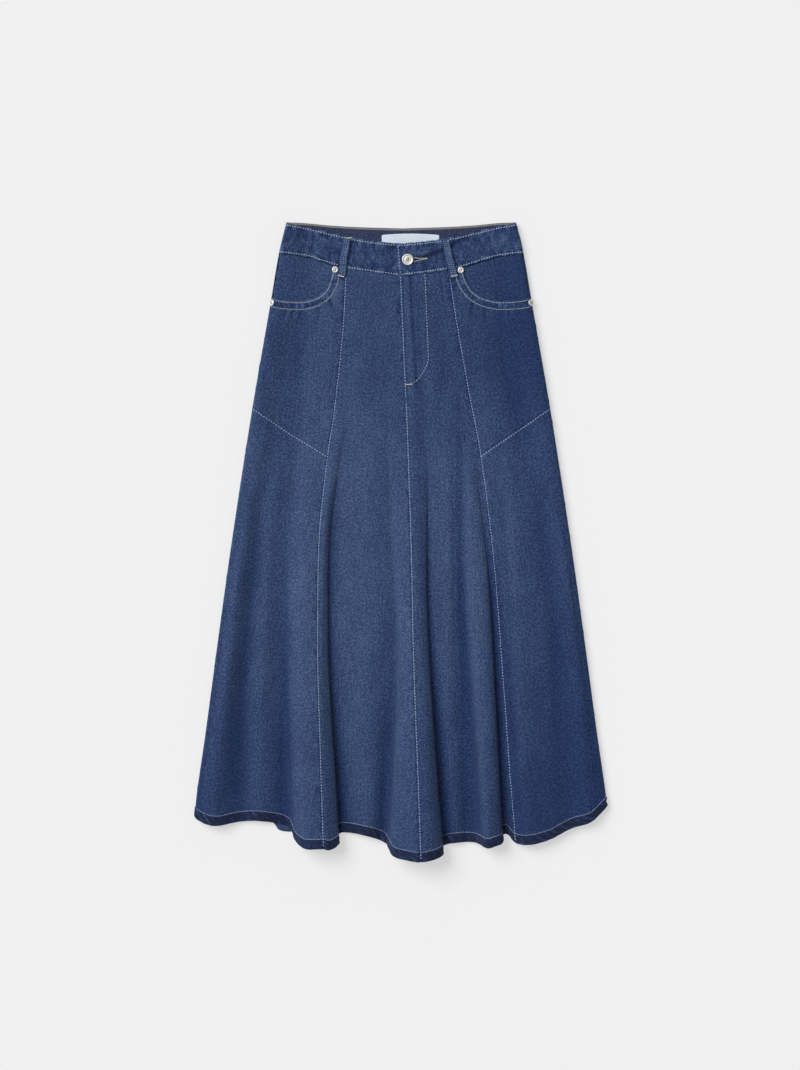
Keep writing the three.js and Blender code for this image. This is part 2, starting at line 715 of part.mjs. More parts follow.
// Seats a piece on the cloth, its axis along the cloth's own normal.
function seat(mesh, place, clearance) {
  const { p, n } = onFront(place.x, place.drop);
  mesh.position.copy(p).addScaledVector(n, clearance);
  mesh.quaternion.setFromUnitVectors(new THREE.Vector3(0, 0, 1), n);
}
const button = add("button", turned(buttonProfile, 28), BRASS);
seat(button, BUTTON, GAP + BAND + GAP);
for (const rivet of RIVETS) {
  seat(add(rivet.name, turned(rivetProfile, 16), BRASS), rivet, GAP + 0.1);
}

// The woven label on the inside of the back waistband. Its long edges bow with the band.
const labelTop = [];
for (let i = -6; i <= 6; i++) {
  const across = i / 6;
  labelTop.push(new THREE.Vector2((across * LABEL.width) / 2, -LABEL.bow * across * across));
}
const labelFoot = labelTop.map((p) => new THREE.Vector2(p.x, p.y - LABEL.height)).reverse();
const labelLine = new THREE.Shape([...labelTop, ...labelFoot]);
const labelTape = new THREE.ExtrudeGeometry(labelLine, { depth: LABEL.wall, bevelEnabled: false });
const label = add("label", labelTape, TAPE);
label.position.set(LABEL.middle, -LABEL.top, BAND + GAP);

skirt.position.y = LENGTH / 2;
export default skirt;
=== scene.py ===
import math

import bpy
import numpy as np
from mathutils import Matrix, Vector


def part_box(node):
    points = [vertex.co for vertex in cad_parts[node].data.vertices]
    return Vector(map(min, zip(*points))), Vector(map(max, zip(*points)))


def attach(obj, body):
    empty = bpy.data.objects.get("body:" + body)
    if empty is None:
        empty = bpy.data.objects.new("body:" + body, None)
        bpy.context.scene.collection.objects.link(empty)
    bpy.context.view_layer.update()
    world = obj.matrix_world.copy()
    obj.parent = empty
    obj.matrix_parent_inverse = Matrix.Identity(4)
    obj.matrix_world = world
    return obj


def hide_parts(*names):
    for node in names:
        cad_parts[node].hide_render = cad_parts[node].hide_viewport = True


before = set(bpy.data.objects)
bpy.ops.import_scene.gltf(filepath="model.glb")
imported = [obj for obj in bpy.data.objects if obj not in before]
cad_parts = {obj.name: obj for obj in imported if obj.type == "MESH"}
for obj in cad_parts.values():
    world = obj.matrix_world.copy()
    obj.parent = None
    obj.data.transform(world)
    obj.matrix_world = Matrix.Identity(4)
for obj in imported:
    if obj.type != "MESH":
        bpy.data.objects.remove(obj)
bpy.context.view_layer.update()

# The view. The skirt lies flat on a pale table and is seen from straight above, through a long lens.
# Places below are in millimetres, in the frame's own axes: x across, y towards the waist, z up from the table.
MM = 0.001
VIEW_CENTRE = (-1.75, 9.1)
VIEW_HEIGHT = 1498  # what the picture's height takes in
LENS = 150
SENSOR = 36
LIE_OF_CLOTH = 5

scene = bpy.context.scene
camera_data = bpy.data.cameras.new("camera")
camera_data.lens = LENS
camera_data.sensor_fit = "VERTICAL"
camera_data.sensor_height = SENSOR
camera = bpy.data.objects.new("camera", camera_data)
distance = VIEW_HEIGHT * LENS / SENSOR
camera.location = (VIEW_CENTRE[0] * MM, VIEW_CENTRE[1] * MM, (distance + LIE_OF_CLOTH) * MM)
scene.collection.objects.link(camera)
scene.camera = camera

# The table and the light: a matt pale board, an even bright room, and one wide soft lamp over the waist's left,
# which leaves the right side of each flute in shade.
TABLE_DROP = 0.8  # the board lies just under the cloth
TABLE_REACH = 6  # metres, to each side
TABLE_COLOUR = (0.37, 0.37, 0.37, 1)
TABLE_GLOW = 0.52  # stands for the light that the room throws back on it
ROOM_LIGHT = 0.32
LAMP_STRENGTH = 2.75
LAMP_SPREAD = 40  # degrees
LAMP_TILT = (-25, -38)  # degrees, towards the waist and to the left


def new_finish(name, plain):
    """A material with plain values on its shader, with its node tree and that shader."""
    finish = bpy.data.materials.new(name)
    finish.use_nodes = True
    shader = finish.node_tree.nodes["Principled BSDF"]
    for socket, value in plain.items():
        shader.inputs[socket].default_value = value
    return finish, finish.node_tree, shader


table = bpy.data.objects.new("table", bpy.data.meshes.new("table"))
corners = [(i * TABLE_REACH, j * TABLE_REACH, -TABLE_DROP * MM)
           for i, j in ((-1, -1), (1, -1), (1, 1), (-1, 1))]
table.data.from_pydata(corners, [], [(0, 1, 2, 3)])
scene.collection.objects.link(table)
table_finish, _, _ = new_finish("table", {
    "Base Color": TABLE_COLOUR, "Roughness": 0.9, "Specular IOR Level": 0.1,
    "Emission Color": (1, 1, 1, 1), "Emission Strength": TABLE_GLOW,
})
table.data.materials.append(table_finish)

room = bpy.data.worlds.new("room")
room.use_nodes = True
room_light = room.node_tree.nodes["Background"]
room_light.inputs["Color"].default_value = (1, 1, 1, 1)
room_light.inputs["Strength"].default_value = ROOM_LIGHT
scene.world = room
lamp_data = bpy.data.lights.new("lamp", "SUN")
lamp_data.energy = LAMP_STRENGTH
lamp_data.angle = math.radians(LAMP_SPREAD)
lamp = bpy.data.objects.new("lamp", lamp_data)
lamp.rotation_euler = (math.radians(LAMP_TILT[0]), math.radians(LAMP_TILT[1]), 0)
scene.collection.objects.link(lamp)
scene.view_settings.view_transform = "Standard"

# Denim. Indigo warp over pale weft in a right-hand twill, washed once: the yarns are uneven, so the cloth has
# fine speckle and long streaks down the warp, and it is paler where it was rubbed. It is darker down in the
# folds with painted shade, and paler on their ridges with painted highlights.
INDIGO = (0.0215, 0.0450, 0.128, 1)
WASHED = (0.078, 0.127, 0.243, 1)
PAINTED_SHADE_AND_DYE_TINT = (0.27, 0.40, 0.60, 1)  # painted shade: what is left of both in the shade of the folds; it also darkens the hem, the seam lines and worn specks
UNWASHED = (0.80, 0.50, 0.42, 1)  # and what is left of that inside a hem, where the wash can't reach
TWILL = {"pitch": 1.1, "slope": 0.55, "weight": 0.12}
# Each grain of the colour: its size across and along the warp in millimetres, its detail and its weight
GRAINS = {
    "yarn": ((1.15, 1.9), 1, 5.2), "slub": ((2.5, 26), 3, 2.0),
    "speckle": ((2.2, 3.3), 3, 3.9), "cloud": ((32, 70), 3, 1.1),
}
SPECKLE_IN_SHADE = 2.6  # the weight that the speckle gains where painted shade, and the darker hem and seams, deepen the colour
PALENESS = 0.24
RUBBED_AND_LIT_PALENESS = 0.75


def nodes_of(tree, *kinds):
    return [tree.nodes.new("ShaderNode" + kind) for kind in kinds]


def formula(tree, operation, first, second=None, third=None):
    step = tree.nodes.new("ShaderNodeMath")
    step.operation = operation
    for slot_number, value in enumerate((first, second, third)):
        if value is None:
            continue
        if isinstance(value, (int, float)):
            step.inputs[slot_number].default_value = value
        else:
            tree.links.new(value, step.inputs[slot_number])
    return step.outputs[0]


def clamped(tree, value):
    return formula(tree, "MINIMUM", formula(tree, "MAXIMUM", value, 0), 1)


def object_place(tree):
    return tree.nodes.new("ShaderNodeTexCoord").outputs["Object"]


def shift(tree, colour, other, share, blend="MIX"):
    """colour moved towards other by share, or towards its product with other."""
    mixer = tree.nodes.new("ShaderNodeMix")
    mixer.data_type = "RGBA"
    mixer.blend_type = blend
    for socket, value in ((mixer.inputs[0], share), (mixer.inputs[6], colour), (mixer.inputs[7], other)):
        if hasattr(value, "links"):
            tree.links.new(value, socket)
        else:
            socket.default_value = value
    return mixer.outputs[2]


def unevenness(tree, place, size, detail=2.0):
    """Smooth noise from 0 to 1; size is the grain's x, y in millimetres on the cloth."""
    scale, noise = nodes_of(tree, "VectorMath", "TexNoise")
    scale.operation = "MULTIPLY"
    scale.inputs[1].default_value = (1 / (size[0] * MM), 1 / (size[1] * MM), 1)
    noise.inputs["Scale"].default_value = 1
    noise.inputs["Detail"].default_value = detail
    tree.links.new(place, scale.inputs[0])
    tree.links.new(scale.outputs[0], noise.inputs["Vector"])
    return noise.outputs["Fac"]


def twill_group():
    """The weave that all denim here shares: its colour, its height and its roughness."""
    tree = bpy.data.node_groups.new("denim_twill", "ShaderNodeTree")
    for in_out, sockets in (
        ("INPUT", {"Place": "Vector", "Ground": "Color", "Pale": "Color", "Shade_and_dye_tint": "Color", "Rubbed_and_lit": "Float",
                   "Shade": "Float"}),
        ("OUTPUT", {"Colour": "Color", "Height": "Float", "Roughness": "Float"}),
    ):
        for name, kind in sockets.items():
            tree.interface.new_socket(name=name, in_out=in_out, socket_type="NodeSocket" + kind)
    given, made = tree.nodes.new("NodeGroupInput").outputs, tree.nodes.new("NodeGroupOutput").inputs
    split, = nodes_of(tree, "SeparateXYZ")
    tree.links.new(given["Place"], split.inputs[0])
    diagonal = formula(tree, "MULTIPLY_ADD", split.outputs[1], TWILL["slope"], split.outputs[0])
    turns = formula(tree, "MULTIPLY", diagonal, 2 * math.pi / (TWILL["pitch"] * MM))
    ribs = formula(tree, "MULTIPLY_ADD", formula(tree, "SINE", turns), 0.5, 0.5)
    paleness = formula(tree, "MULTIPLY_ADD", ribs, TWILL["weight"], -TWILL["weight"] / 2)
    grains = {}
    for grain, (size, detail, weight) in GRAINS.items():
        grains[grain] = unevenness(tree, given["Place"], size, detail)
        if grain == "speckle":
            in_shade = formula(tree, "MINIMUM", given["Shade"], 1)
            weight = formula(tree, "MULTIPLY_ADD", in_shade, SPECKLE_IN_SHADE, weight)
        centred = formula(tree, "SUBTRACT", grains[grain], 0.5)
        paleness = formula(tree, "MULTIPLY_ADD", centred, weight, paleness)
    paleness = formula(tree, "ADD", paleness, PALENESS)
    # wear, and painted highlights on the ridges of folds, creases and puckers, make the cloth paler
    paleness = clamped(tree, formula(tree, "MULTIPLY_ADD", given["Rubbed_and_lit"], RUBBED_AND_LIT_PALENESS, paleness))
    colour = shift(tree, given["Ground"], given["Pale"], paleness)
    # painted shade: the shade mark pulls the colour towards the tint in folds, creases and at the sides; it also
    # deepens the hem and seam lines
    colour = shift(tree, colour, given["Shade_and_dye_tint"], given["Shade"], "MULTIPLY")
    colour = shift(tree, colour, UNWASHED, formula(tree, "SUBTRACT", given["Shade"], 1), "MULTIPLY")
    tree.links.new(colour, made["Colour"])
    tree.links.new(formula(tree, "MULTIPLY_ADD", grains["yarn"], 0.8, ribs), made["Height"])
    tree.links.new(formula(tree, "MULTIPLY_ADD", grains["slub"], 0.16, 0.74), made["Roughness"])
    return tree


denim_twill = twill_group()


def denim(name, ground=INDIGO, pale=WASHED):
    """A denim that reads from the mesh its threads' places, how rubbed and lit it is (wear and painted
    highlights), and how deep in colour it is (painted shade in folds and creases, and the darker hem and seams).
    """
    finish, tree, shader = new_finish(name, {
        "Specular IOR Level": 0.25, "Sheen Weight": 0.12, "Sheen Roughness": 0.5,
        "Sheen Tint": (0.55, 0.65, 0.9, 1),
    })
    weave, bump = nodes_of(tree, "Group", "Bump")
    weave.node_tree = denim_twill
    for socket, colour in (("Ground", ground), ("Pale", pale), ("Shade_and_dye_tint", PAINTED_SHADE_AND_DYE_TINT)):
        weave.inputs[socket].default_value = colour
    for mark, output, socket in (("cloth", "Vector", "Place"), ("rubbed_and_lit", "Fac", "Rubbed_and_lit"),
                                 ("shade", "Fac", "Shade")):
        attribute, = nodes_of(tree, "Attribute")
        attribute.attribute_name = mark
        tree.links.new(attribute.outputs[output], weave.inputs[socket])
    bump.inputs["Strength"].default_value = 0.6
    bump.inputs["Distance"].default_value = 0.00025
    tree.links.new(weave.outputs["Colour"], shader.inputs["Base Color"])
    tree.links.new(weave.outputs["Roughness"], shader.inputs["Roughness"])
    tree.links.new(weave.outputs["Height"], bump.inputs["Height"])
    tree.links.new(bump.outputs["Normal"], shader.inputs["Normal"])
    return finish


face_denim = denim("denim")

# How the front lies. It is four gores: two in the middle and one at each side. They lie flat at the hip and
# rise into flutes towards the hem, three of which have rolled over to the right, onto their own feet.
LENGTH = 892
GORE_LENGTH = 815  # about how far a gore runs from the waist seam to the hem
GORE_DROP = 800  # and how far down it goes
FLUTES_FROM = 0.2  # the share down at which the flutes begin to rise
FLUTES_EASE = 0.08  # how softly they begin
FOLD_AT_WAIST = 5.6  # the radius of the turn at the sides
FOLD_AT_HEM = 4.6
REST = 3.3  # how high the front lies over the table
REST_AT_WAIST = 5.0
SIDE_SPREAD = 24  # how far in from the turn it comes down to that
# Lines by their drop from the top and their distance from the middle
SIDE = {"drop": (0, 41.5, 112, 259, 450, 584, 718, 807, 830),
        "out": (161, 171, 183, 208.4, 237.9, 256.6, 274.6, 287.2, 289.4)}
WAIST_SEAM = {"out": (0, 40, 76, 100, 132, 171), "drop": (73.5, 68, 62.5, 56, 46.5, 41.5)}
# Each seam of the front: the drop of both its ends, how high it rises at the hem, and its line
PRINCESS_LEFT = {
    "top": 62, "hem": 874, "rise": 30,
    "drop": (62, 128, 180, 273, 326, 471, 578, 750, 874),
    "x": (-78, -81, -85.5, -96, -104, -117, -118, -113.5, -109.5),
}
CENTRE = {
    "top": 73.5, "hem": LENGTH, "rise": 35,
    "drop": (73, 200, 303, 471, 600, 793, 892),
    "x": (-2.5, 3, 7.5, 12.8, 15.5, 22.5, 26),
}
PRINCESS_RIGHT = {
    "top": 64, "hem": 867, "rise": 6,
    "drop": (62, 123, 226, 325, 471, 643, 807, 870),
    "x": (65, 74, 92, 110.5, 128.5, 142, 154, 160),
}
HEM_AT_SIDE = {"left": 828.5, "right": 815}
# Each fold: its x at the hip, half way down and at the hem, its height and the hem's place there.
# A rolled one also has the hem's place at its foot.
FOLDS = {
    "side_left": (
        (-188, -232, -262, 10, 843), (-172, -209, -224, 2, 837), (-158, -189, -196, 5.5, 836.5),
        (-140, -169, -158, 0.3, 845), (-131, -153, -146, 15, 866), (-118, -138, -133, 29, 874),
    ),
    "centre_left": (
        (-82, -103, -87, 29, 875.5, 853), (-50, -50, -44, 7.5, 858.5), (-22, -11, -23, 0.5, 867),
        (-11, -1, -10.5, 24, 885), (-1, 8, 7, 31.5, 889.5),
    ),
    "centre_right": (
        (33, 37, 58.5, 33, 889, 870), (55, 59, 76, 4.5, 867), (79, 84.5, 96, 1, 866.3), (86, 95, 107, 12, 869),
        (86, 103, 121, 24, 873.5), (94, 126, 143.5, 24, 871, 855),
    ),
    "side_right": (
        (124, 154, 178, 14, 869.5), (150, 183, 208, 11, 862), (172, 212, 238, 7, 846.5),
        (190, 236, 265, 7, 838),
    ),
}
FOLD_STATIONS = (0.28, 0.61, 1)
# A rolled fold's profile: its x from the edge where it starts and at the hem, its share of the height and drop
ROLL = ((-4, -13, 0.9, 1), (0, 0, 0.46, 0.66), (3, -3.5, 0.12, 0.26), (6, 3, 0, 0))
# The turn at the side: shares of the fold's radius inwards and up, and how much lower the hem is there
SIDE_FOLD = ((0.3, 0.3, -1), (0, 1, 0), (0.3, 1.7, 3), (1.15, 2, 7))
ROWS = 401
COLUMNS = 301


def through(xs, ys):
    """A smooth line through a table's rows, which doesn't overshoot them."""
    xs, ys = np.asarray(xs, float), np.asarray(ys, float)
    slopes = np.diff(ys) / np.diff(xs)
    inner = [2 * a * b / (a + b) if a * b > 0 else 0 for a, b in zip(slopes, slopes[1:])]
    tangents = np.array([slopes[0], *inner, slopes[-1]])

    def line(at):
        x = np.clip(np.asarray(at, float), xs[0], xs[-1])
        i = np.clip(np.searchsorted(xs, x) - 1, 0, len(xs) - 2)
        step = xs[i + 1] - xs[i]
        s = (x - xs[i]) / step
        blend = s * s * (3 - 2 * s)
        turn = (1 - s) * tangents[i] - s * tangents[i + 1]
        return ys[i] * (1 - blend) + ys[i + 1] * blend + step * s * (1 - s) * turn

    return line


def smooth(x, low, high):
    s = np.clip((np.asarray(x, float) - low) / (high - low), 0, 1)
    return s * s * (3 - 2 * s)


side_at = through(SIDE["drop"], SIDE["out"])
waist_seam_at = through(WAIST_SEAM["out"], WAIST_SEAM["drop"])
SIDE_TOP = WAIST_SEAM["drop"][-1]


def seam_line(seam):
    x_at = through(seam["drop"], seam["x"])
    return lambda t: float(x_at(seam["top"] + (seam["hem"] - seam["top"]) * t))


def side_line(sign, hem):
    return lambda t: float(sign * side_at(SIDE_TOP + (hem - SIDE_TOP) * t))


left_side = side_line(-1, HEM_AT_SIDE["left"])
right_side = side_line(1, HEM_AT_SIDE["right"])
princess_left, centre_front, princess_right = (seam_line(s) for s in (PRINCESS_LEFT, CENTRE, PRINCESS_RIGHT))
GORES = {
    "side_left": (left_side, princess_left),
    "centre_left": (princess_left, centre_front),
    "centre_right": (centre_front, princess_right),
    "side_right": (princess_right, right_side),
}


def fold_line(gore, stations):
    """A fold's x at t, at its own share of the gore, kept above the hip."""
    start, end = GORES[gore]
    shares = [(x - start(t)) / (end(t) - start(t)) for t, x in zip(FOLD_STATIONS, stations)]
    share_at = through(FOLD_STATIONS, shares)
    return lambda t: start(t) + (end(t) - start(t)) * float(share_at(t))


fold_lines = {gore: [fold_line(gore, fold[:3]) for fold in folds] for gore, folds in FOLDS.items()}


def growth(t):
    s = max(0, (t - FLUTES_FROM) / (1 - FLUTES_FROM))
    return (1 + FLUTES_EASE) * s * s / (s + FLUTES_EASE)


def fold_radius(t):
    return FOLD_AT_WAIST + (FOLD_AT_HEM - FOLD_AT_WAIST) * t


def rest_at(t):
    return REST_AT_WAIST + (REST - REST_AT_WAIST) * float(smooth(t, 0.1, 0.24))


def side_fold(sign, t, hem):
    r = fold_radius(t)
    side = -left_side(t) if sign < 0 else right_side(t)
    return [(sign * (side - inward * r), height * r, hem + lower) for inward, height, lower in SIDE_FOLD]


def controls_at(t):
    """The cross-section's bends as x, height and the hem's drop, and where the gores' seams are among them."""
    g, rest, r = growth(t), rest_at(t), fold_radius(t)

    def lying(x):
        side = -left_side(t) if x < 0 else right_side(t)
        inward = max(0, side - 1.15 * r - abs(x))
        return rest + (2 * r - rest) * math.exp(-((inward / SIDE_SPREAD) ** 2))

    bends = side_fold(-1, t, HEM_AT_SIDE["left"])
    ends = [1]
    seams = {"side_left": (princess_left, PRINCESS_LEFT), "centre_left": (centre_front, CENTRE),
             "centre_right": (princess_right, PRINCESS_RIGHT)}
    for gore, folds in FOLDS.items():
        for fold, line in zip(folds, fold_lines[gore]):
            x, rise, drop = line(t), fold[3], fold[4]
            if len(fold) == 5:
                bends.append((x, lying(x) + rise * g, drop))
                continue
            for start, hem, height, share in ROLL:
                bends.append((x + start + (hem - start) * g, lying(x) + height * rise * g,
                              fold[5] + (drop - fold[5]) * share))
        if gore in seams:
            line, seam = seams[gore]
            ends.append(len(bends))
            bends.append((line(t), lying(line(t)) + seam["rise"] * g, seam["hem"]))
    bends += side_fold(1, t, HEM_AT_SIDE["right"])[::-1]
    ends.append(len(bends) - 2)
    return np.array(bends), ends, min(rest, r)


def bend_through(points, first, last, fine=14):
    """The centripetal curve through the points, from one of them to another."""
    padded = np.vstack((2 * points[0] - points[1], points, 2 * points[-1] - points[-2]))
    s = (np.arange(fine) / fine)[:, None]
    runs = []
    for i in range(first, last):
        p0, p1, p2, p3 = padded[i:i + 4]
        d0, d1, d2 = (np.linalg.norm(b - a) ** 0.5 for a, b in ((p0, p1), (p1, p2), (p2, p3)))
        leave = ((p1 - p0) / d0 - (p2 - p0) / (d0 + d1) + (p2 - p1) / d1) * d1
        arrive = ((p2 - p1) / d1 - (p3 - p1) / (d1 + d2) + (p3 - p2) / d2) * d1
        square = -3 * p1 + 3 * p2 - 2 * leave - arrive
        cube = 2 * p1 - 2 * p2 + leave + arrive
        runs.append(p1 + leave * s + square * s**2 + cube * s**3)
    return np.vstack(runs + [points[last][None]])


def lay_out_gores():
    """Each gore's points on even shares across and down, with its widths and the length of its threads."""
    laid = {gore: np.zeros((ROWS, COLUMNS, 3)) for gore in GORES}
    widths = {gore: np.zeros(ROWS) for gore in GORES}
    even = np.linspace(0, 1, COLUMNS)
    for row in range(ROWS):
        t = row / (ROWS - 1)
        bends, ends, lowest = controls_at(t)
        for gore, first, last in zip(GORES, ends, ends[1:]):
            line = bend_through(bends, first, last)
            line[:, 1] = np.maximum(line[:, 1], lowest)
            along = np.concatenate(([0], np.cumsum(np.hypot(*np.diff(line[:, :2], axis=0).T))))
            widths[gore][row] = along[-1]
            laid[gore][row] = np.stack([np.interp(even * along[-1], along, line[:, k]) for k in range(3)], -1)
    lengths = {}
    for gore, grid in laid.items():
        top = waist_seam_at(np.abs(grid[0, :, 0]))
        t = np.linspace(0, 1, ROWS)[:, None]
        drop = top + (grid[..., 2] - top) * t
        lengths[gore] = grid[-1, :, 2] - top
        laid[gore] = np.stack((grid[..., 0], LENGTH / 2 - drop, grid[..., 1]), -1)
    return laid, widths, lengths


cloth, widths, lengths = lay_out_gores()


def unit(vectors):
    return vectors / np.linalg.norm(vectors, axis=-1, keepdims=True)


def run_along(points):
    """How far each point of a line lies along it."""
    return np.concatenate(([0], np.cumsum(np.linalg.norm(np.diff(points, axis=0), axis=-1))))


facing_up = {gore: unit(np.cross(np.gradient(grid, axis=0), np.gradient(grid, axis=1)))
             for gore, grid in cloth.items()}


def width_at(gore, t):
    return np.interp(t, np.linspace(0, 1, ROWS), widths[gore])


def length_at(gore, share):
    return np.interp(share, np.linspace(0, 1, COLUMNS), lengths[gore])


def on_grid(grid, share, t):
    """Values of a gore's grid at any shares across and down."""
    a = np.clip(share, 0, 1) * (COLUMNS - 1)
    b = np.clip(t, 0, 1) * (ROWS - 1)
    i = np.minimum(b.astype(int), ROWS - 2)
    j = np.minimum(a.astype(int), COLUMNS - 2)
    s, r = a - j, b - i
    if grid.ndim == 3:
        s, r = s[..., None], r[..., None]
    top = grid[i, j] * (1 - s) + grid[i, j + 1] * s
    foot = grid[i + 1, j] * (1 - s) + grid[i + 1, j + 1] * s
    return top * (1 - r) + foot * r


# Soft unevenness of cloth that was sewn and washed: broad waves down the grain, and small puckers at the seams.
WAVES = ((34, 150, 0.55), (13, 60, 0.22))  # width, length and depth
PUCKER = {"pitch": 4.6, "reach": 5, "depth": 0.9, "fade": 0.45}
ALLOWANCE = {"at": 7.5, "width": 1.8, "raise": 0.4}  # the seam allowance's cut edge, felt through the cloth
DITCH = {"reach": 1.0, "depth": 0.75}
WEAR = {"across": 1.7, "along": 3.1, "reach": 9, "rubbed_and_lit": 0.6, "shade": 0.7}  # specks beside a seam
TROUGH_SHADOWS = {"side_right": (0.75, 7), "centre_right": (1.0, 10)}  # painted shadow that the flutes cast beside the right seam: its depth in colour, reach
HEM = {"depth": 12.6, "raise": 0.9, "rope_pitch": 12, "rope_depth": 0.5, "slant": 1.0}
LOWEST_FACE = 3.05
LATTICE = 64
lattice = np.random.default_rng(11).random((LATTICE, LATTICE))


def wavering(x, y, seed=0):
    """Smooth noise from -1 to 1."""
    x, y = np.asarray(x, float) + 17.3 * seed, np.asarray(y, float) + 5.7 * seed
    i, j = np.floor(x).astype(int), np.floor(y).astype(int)
    s, r = x - i, y - j
    s, r = s * s * (3 - 2 * s), r * r * (3 - 2 * r)
    low, high = (lattice[i % LATTICE, k % LATTICE] * (1 - s) + lattice[(i + 1) % LATTICE, k % LATTICE] * s
                 for k in (j, j + 1))
    return 2 * (low * (1 - r) + high * r) - 1


def bell(x, width, power=2):
    return np.exp(-((x / width) ** power))


def seam_wave(along, from_seam, seed):
    """Puckers that a row of stitches draws in beside it."""
    swing = wavering(along / PUCKER["pitch"], from_seam / 14, seed)
    return PUCKER["depth"] * swing * bell(from_seam, PUCKER["reach"])


def ditch(from_seam):
    """The dip right at a seam."""
    return -DITCH["depth"] * bell(from_seam, DITCH["reach"])


# Creases that were pressed or lie in the cloth: x and drop at both ends, width, and depth, above 0 for a ridge.
# The depth also paints shade into the hollow ones and a highlight onto the ridges; the last four lie low down,
# where the cloth can hardly sink, so they are mostly painted shade
CREASES = (
    (28, 240, 33, 560, 10, -1.7), (42, 270, 50, 600, 9, 1.0), (79, 270, 81, 560, 8, -1.9),
    (66, 330, 70, 600, 8, 1.0), (-95, 370, -98, 520, 8, -1.7), (-27, 150, -29, 420, 12, -0.6),
    (24, 90, 30, 260, 4, -0.6), (-140, 150, -160, 330, 14, -0.9), (-118, 140, -128, 300, 10, 0.7),
    (140, 150, 168, 330, 13, -0.9), (110, 130, 128, 300, 9, 0.7), (-200, 420, -236, 780, 16, -1.2),
    (-176, 360, -205, 700, 14, 1.0), (-166, 350, -182, 520, 10, -1.2), (170, 420, 190, 760, 18, 1.0),
    (196, 380, 226, 700, 15, -1.1), (150, 330, 165, 520, 9, 0.9), (136, 330, 146, 480, 8, -1.0),
    (-62, 130, -70, 380, 14, 0.5), (52, 110, 60, 240, 9, -0.8), (-48, 300, -52, 560, 14, 0.6),
    (84, 540, 118, 1100, 9, -3.8), (135, 560, 160, 1100, 6.5, -3.2), (150, 520, 170, 1100, 7, -1.4),
    (-163, 520, -156, 1100, 7, -1.6),
)


def creases_at(p):
    """The creases' height at points of the front."""
    total = np.zeros(p.shape[:-1])
    x, drop = p[..., 0], LENGTH / 2 - p[..., 1]
    for x1, drop1, x2, drop2, width, depth in CREASES:
        s = np.clip((drop - drop1) / (drop2 - drop1), -0.5, 1.5)
        middle = x1 + (x2 - x1) * s
        fade = smooth(s, -0.25, 0.2) * (1 - smooth(s, 0.8, 1.25))
        total += depth * fade * bell(x - middle, width)
    return total


def height_over_neighbours():
    """How far each point of the front stands over the cloth around it, seen from above."""
    reach, step, reach_steps, half_width = 17, 2.0, 40, 320
    count = int(2 * half_width / step)
    kernel = np.exp(-(((np.arange(-reach_steps, reach_steps + 1) * step) / reach) ** 2) / 2)
    kernel /= kernel.sum()
    over = {gore: np.zeros((ROWS, COLUMNS)) for gore in GORES}
    for row in range(ROWS):
        line = np.vstack([cloth[gore][row] for gore in GORES])
        tops = np.full(count, -1.0)
        np.maximum.at(tops, ((line[:, 0] + half_width) / step).astype(int), line[:, 2])
        seen = np.flatnonzero(tops >= 0)
        tops = np.interp(np.arange(count), seen, tops[seen])
        around = np.convolve(np.pad(tops, reach_steps, "edge"), kernel, "valid")
        for gore in GORES:
            at = (cloth[gore][row][:, 0] + half_width) / step - 0.5
            over[gore][row] = cloth[gore][row][:, 2] - np.interp(at, np.arange(count), around)
    return over


over_neighbours = height_over_neighbours()
# Painted light from the folds: the height over the cloth around that counts as a whole fold, a painted highlight
# on ridges and on the creases' ridges, and painted shade in valleys and creases. The top is darker, and more so
# to its right, which is painted shade.
PAINTED_LIGHT = {"fold": 7, "valley": 0.64, "ridge": 0.18, "crease": 0.38, "lit_crease_ridge": 0.10,
        "top": 0.36, "top_right": 0.8}
# Painted shade outwards, more on the right, away from the lamp, and less on the left: its weight, with the
# distances from the middle where that starts and is full
SIDE_SHADE = {"both": ((0.30, 95, 190), (0.20, 190, 265)), "right": ((0.22, 110, 200),),
              "left": ((-0.14, 20, 90),)}
HEM_DARKENING = (0.42, 0.55, 1)  # the colour is also darker towards the hem: its weight, and the shares down the gore where that starts and is full
TOP_DARKENING = (0.12, 0.4)  # the shares between which the top's darker colour goes


def painted_light_at(gore, share, t, p):
    """Painted light: highlights on the ridges of folds and creases, and painted shade in their valleys and
    creases, at the sides and on the top's right; the top and the hem are darker as well.
    """
    over = on_grid(over_neighbours[gore], share, t) / PAINTED_LIGHT["fold"]
    crease = creases_at(p)
    rubbed_and_lit = PAINTED_LIGHT["ridge"] * np.clip(over, 0, 1) + PAINTED_LIGHT["lit_crease_ridge"] * np.clip(crease, 0, 1)
    shade = PAINTED_LIGHT["valley"] * np.clip(-over, 0, 1) + PAINTED_LIGHT["crease"] * np.clip(-crease / 1.6, 0, 2)
    x = p[..., 0]
    for side, out in (("both", np.abs(x)), ("right", x), ("left", -x)):
        for weight, start, full in SIDE_SHADE[side]:
            shade = shade + weight * smooth(out, start, full)
    top = PAINTED_LIGHT["top"] * (1 - smooth(t, *TOP_DARKENING)) * (1 + PAINTED_LIGHT["top_right"] * smooth(x, 20, 120))
    return rubbed_and_lit, shade + top + HEM_DARKENING[0] * smooth(t, *HEM_DARKENING[1:])


FLY = {"length": 154, "width": 36, "raise": 0.9, "lift": 1.4}
# Marks along the fly's edge: how far each lies from it, and its reach
FLY_STREAK, FLY_GROOVE, FLY_NOTCH = (9, 4), (15, 2.2), (4.2, 1.1)


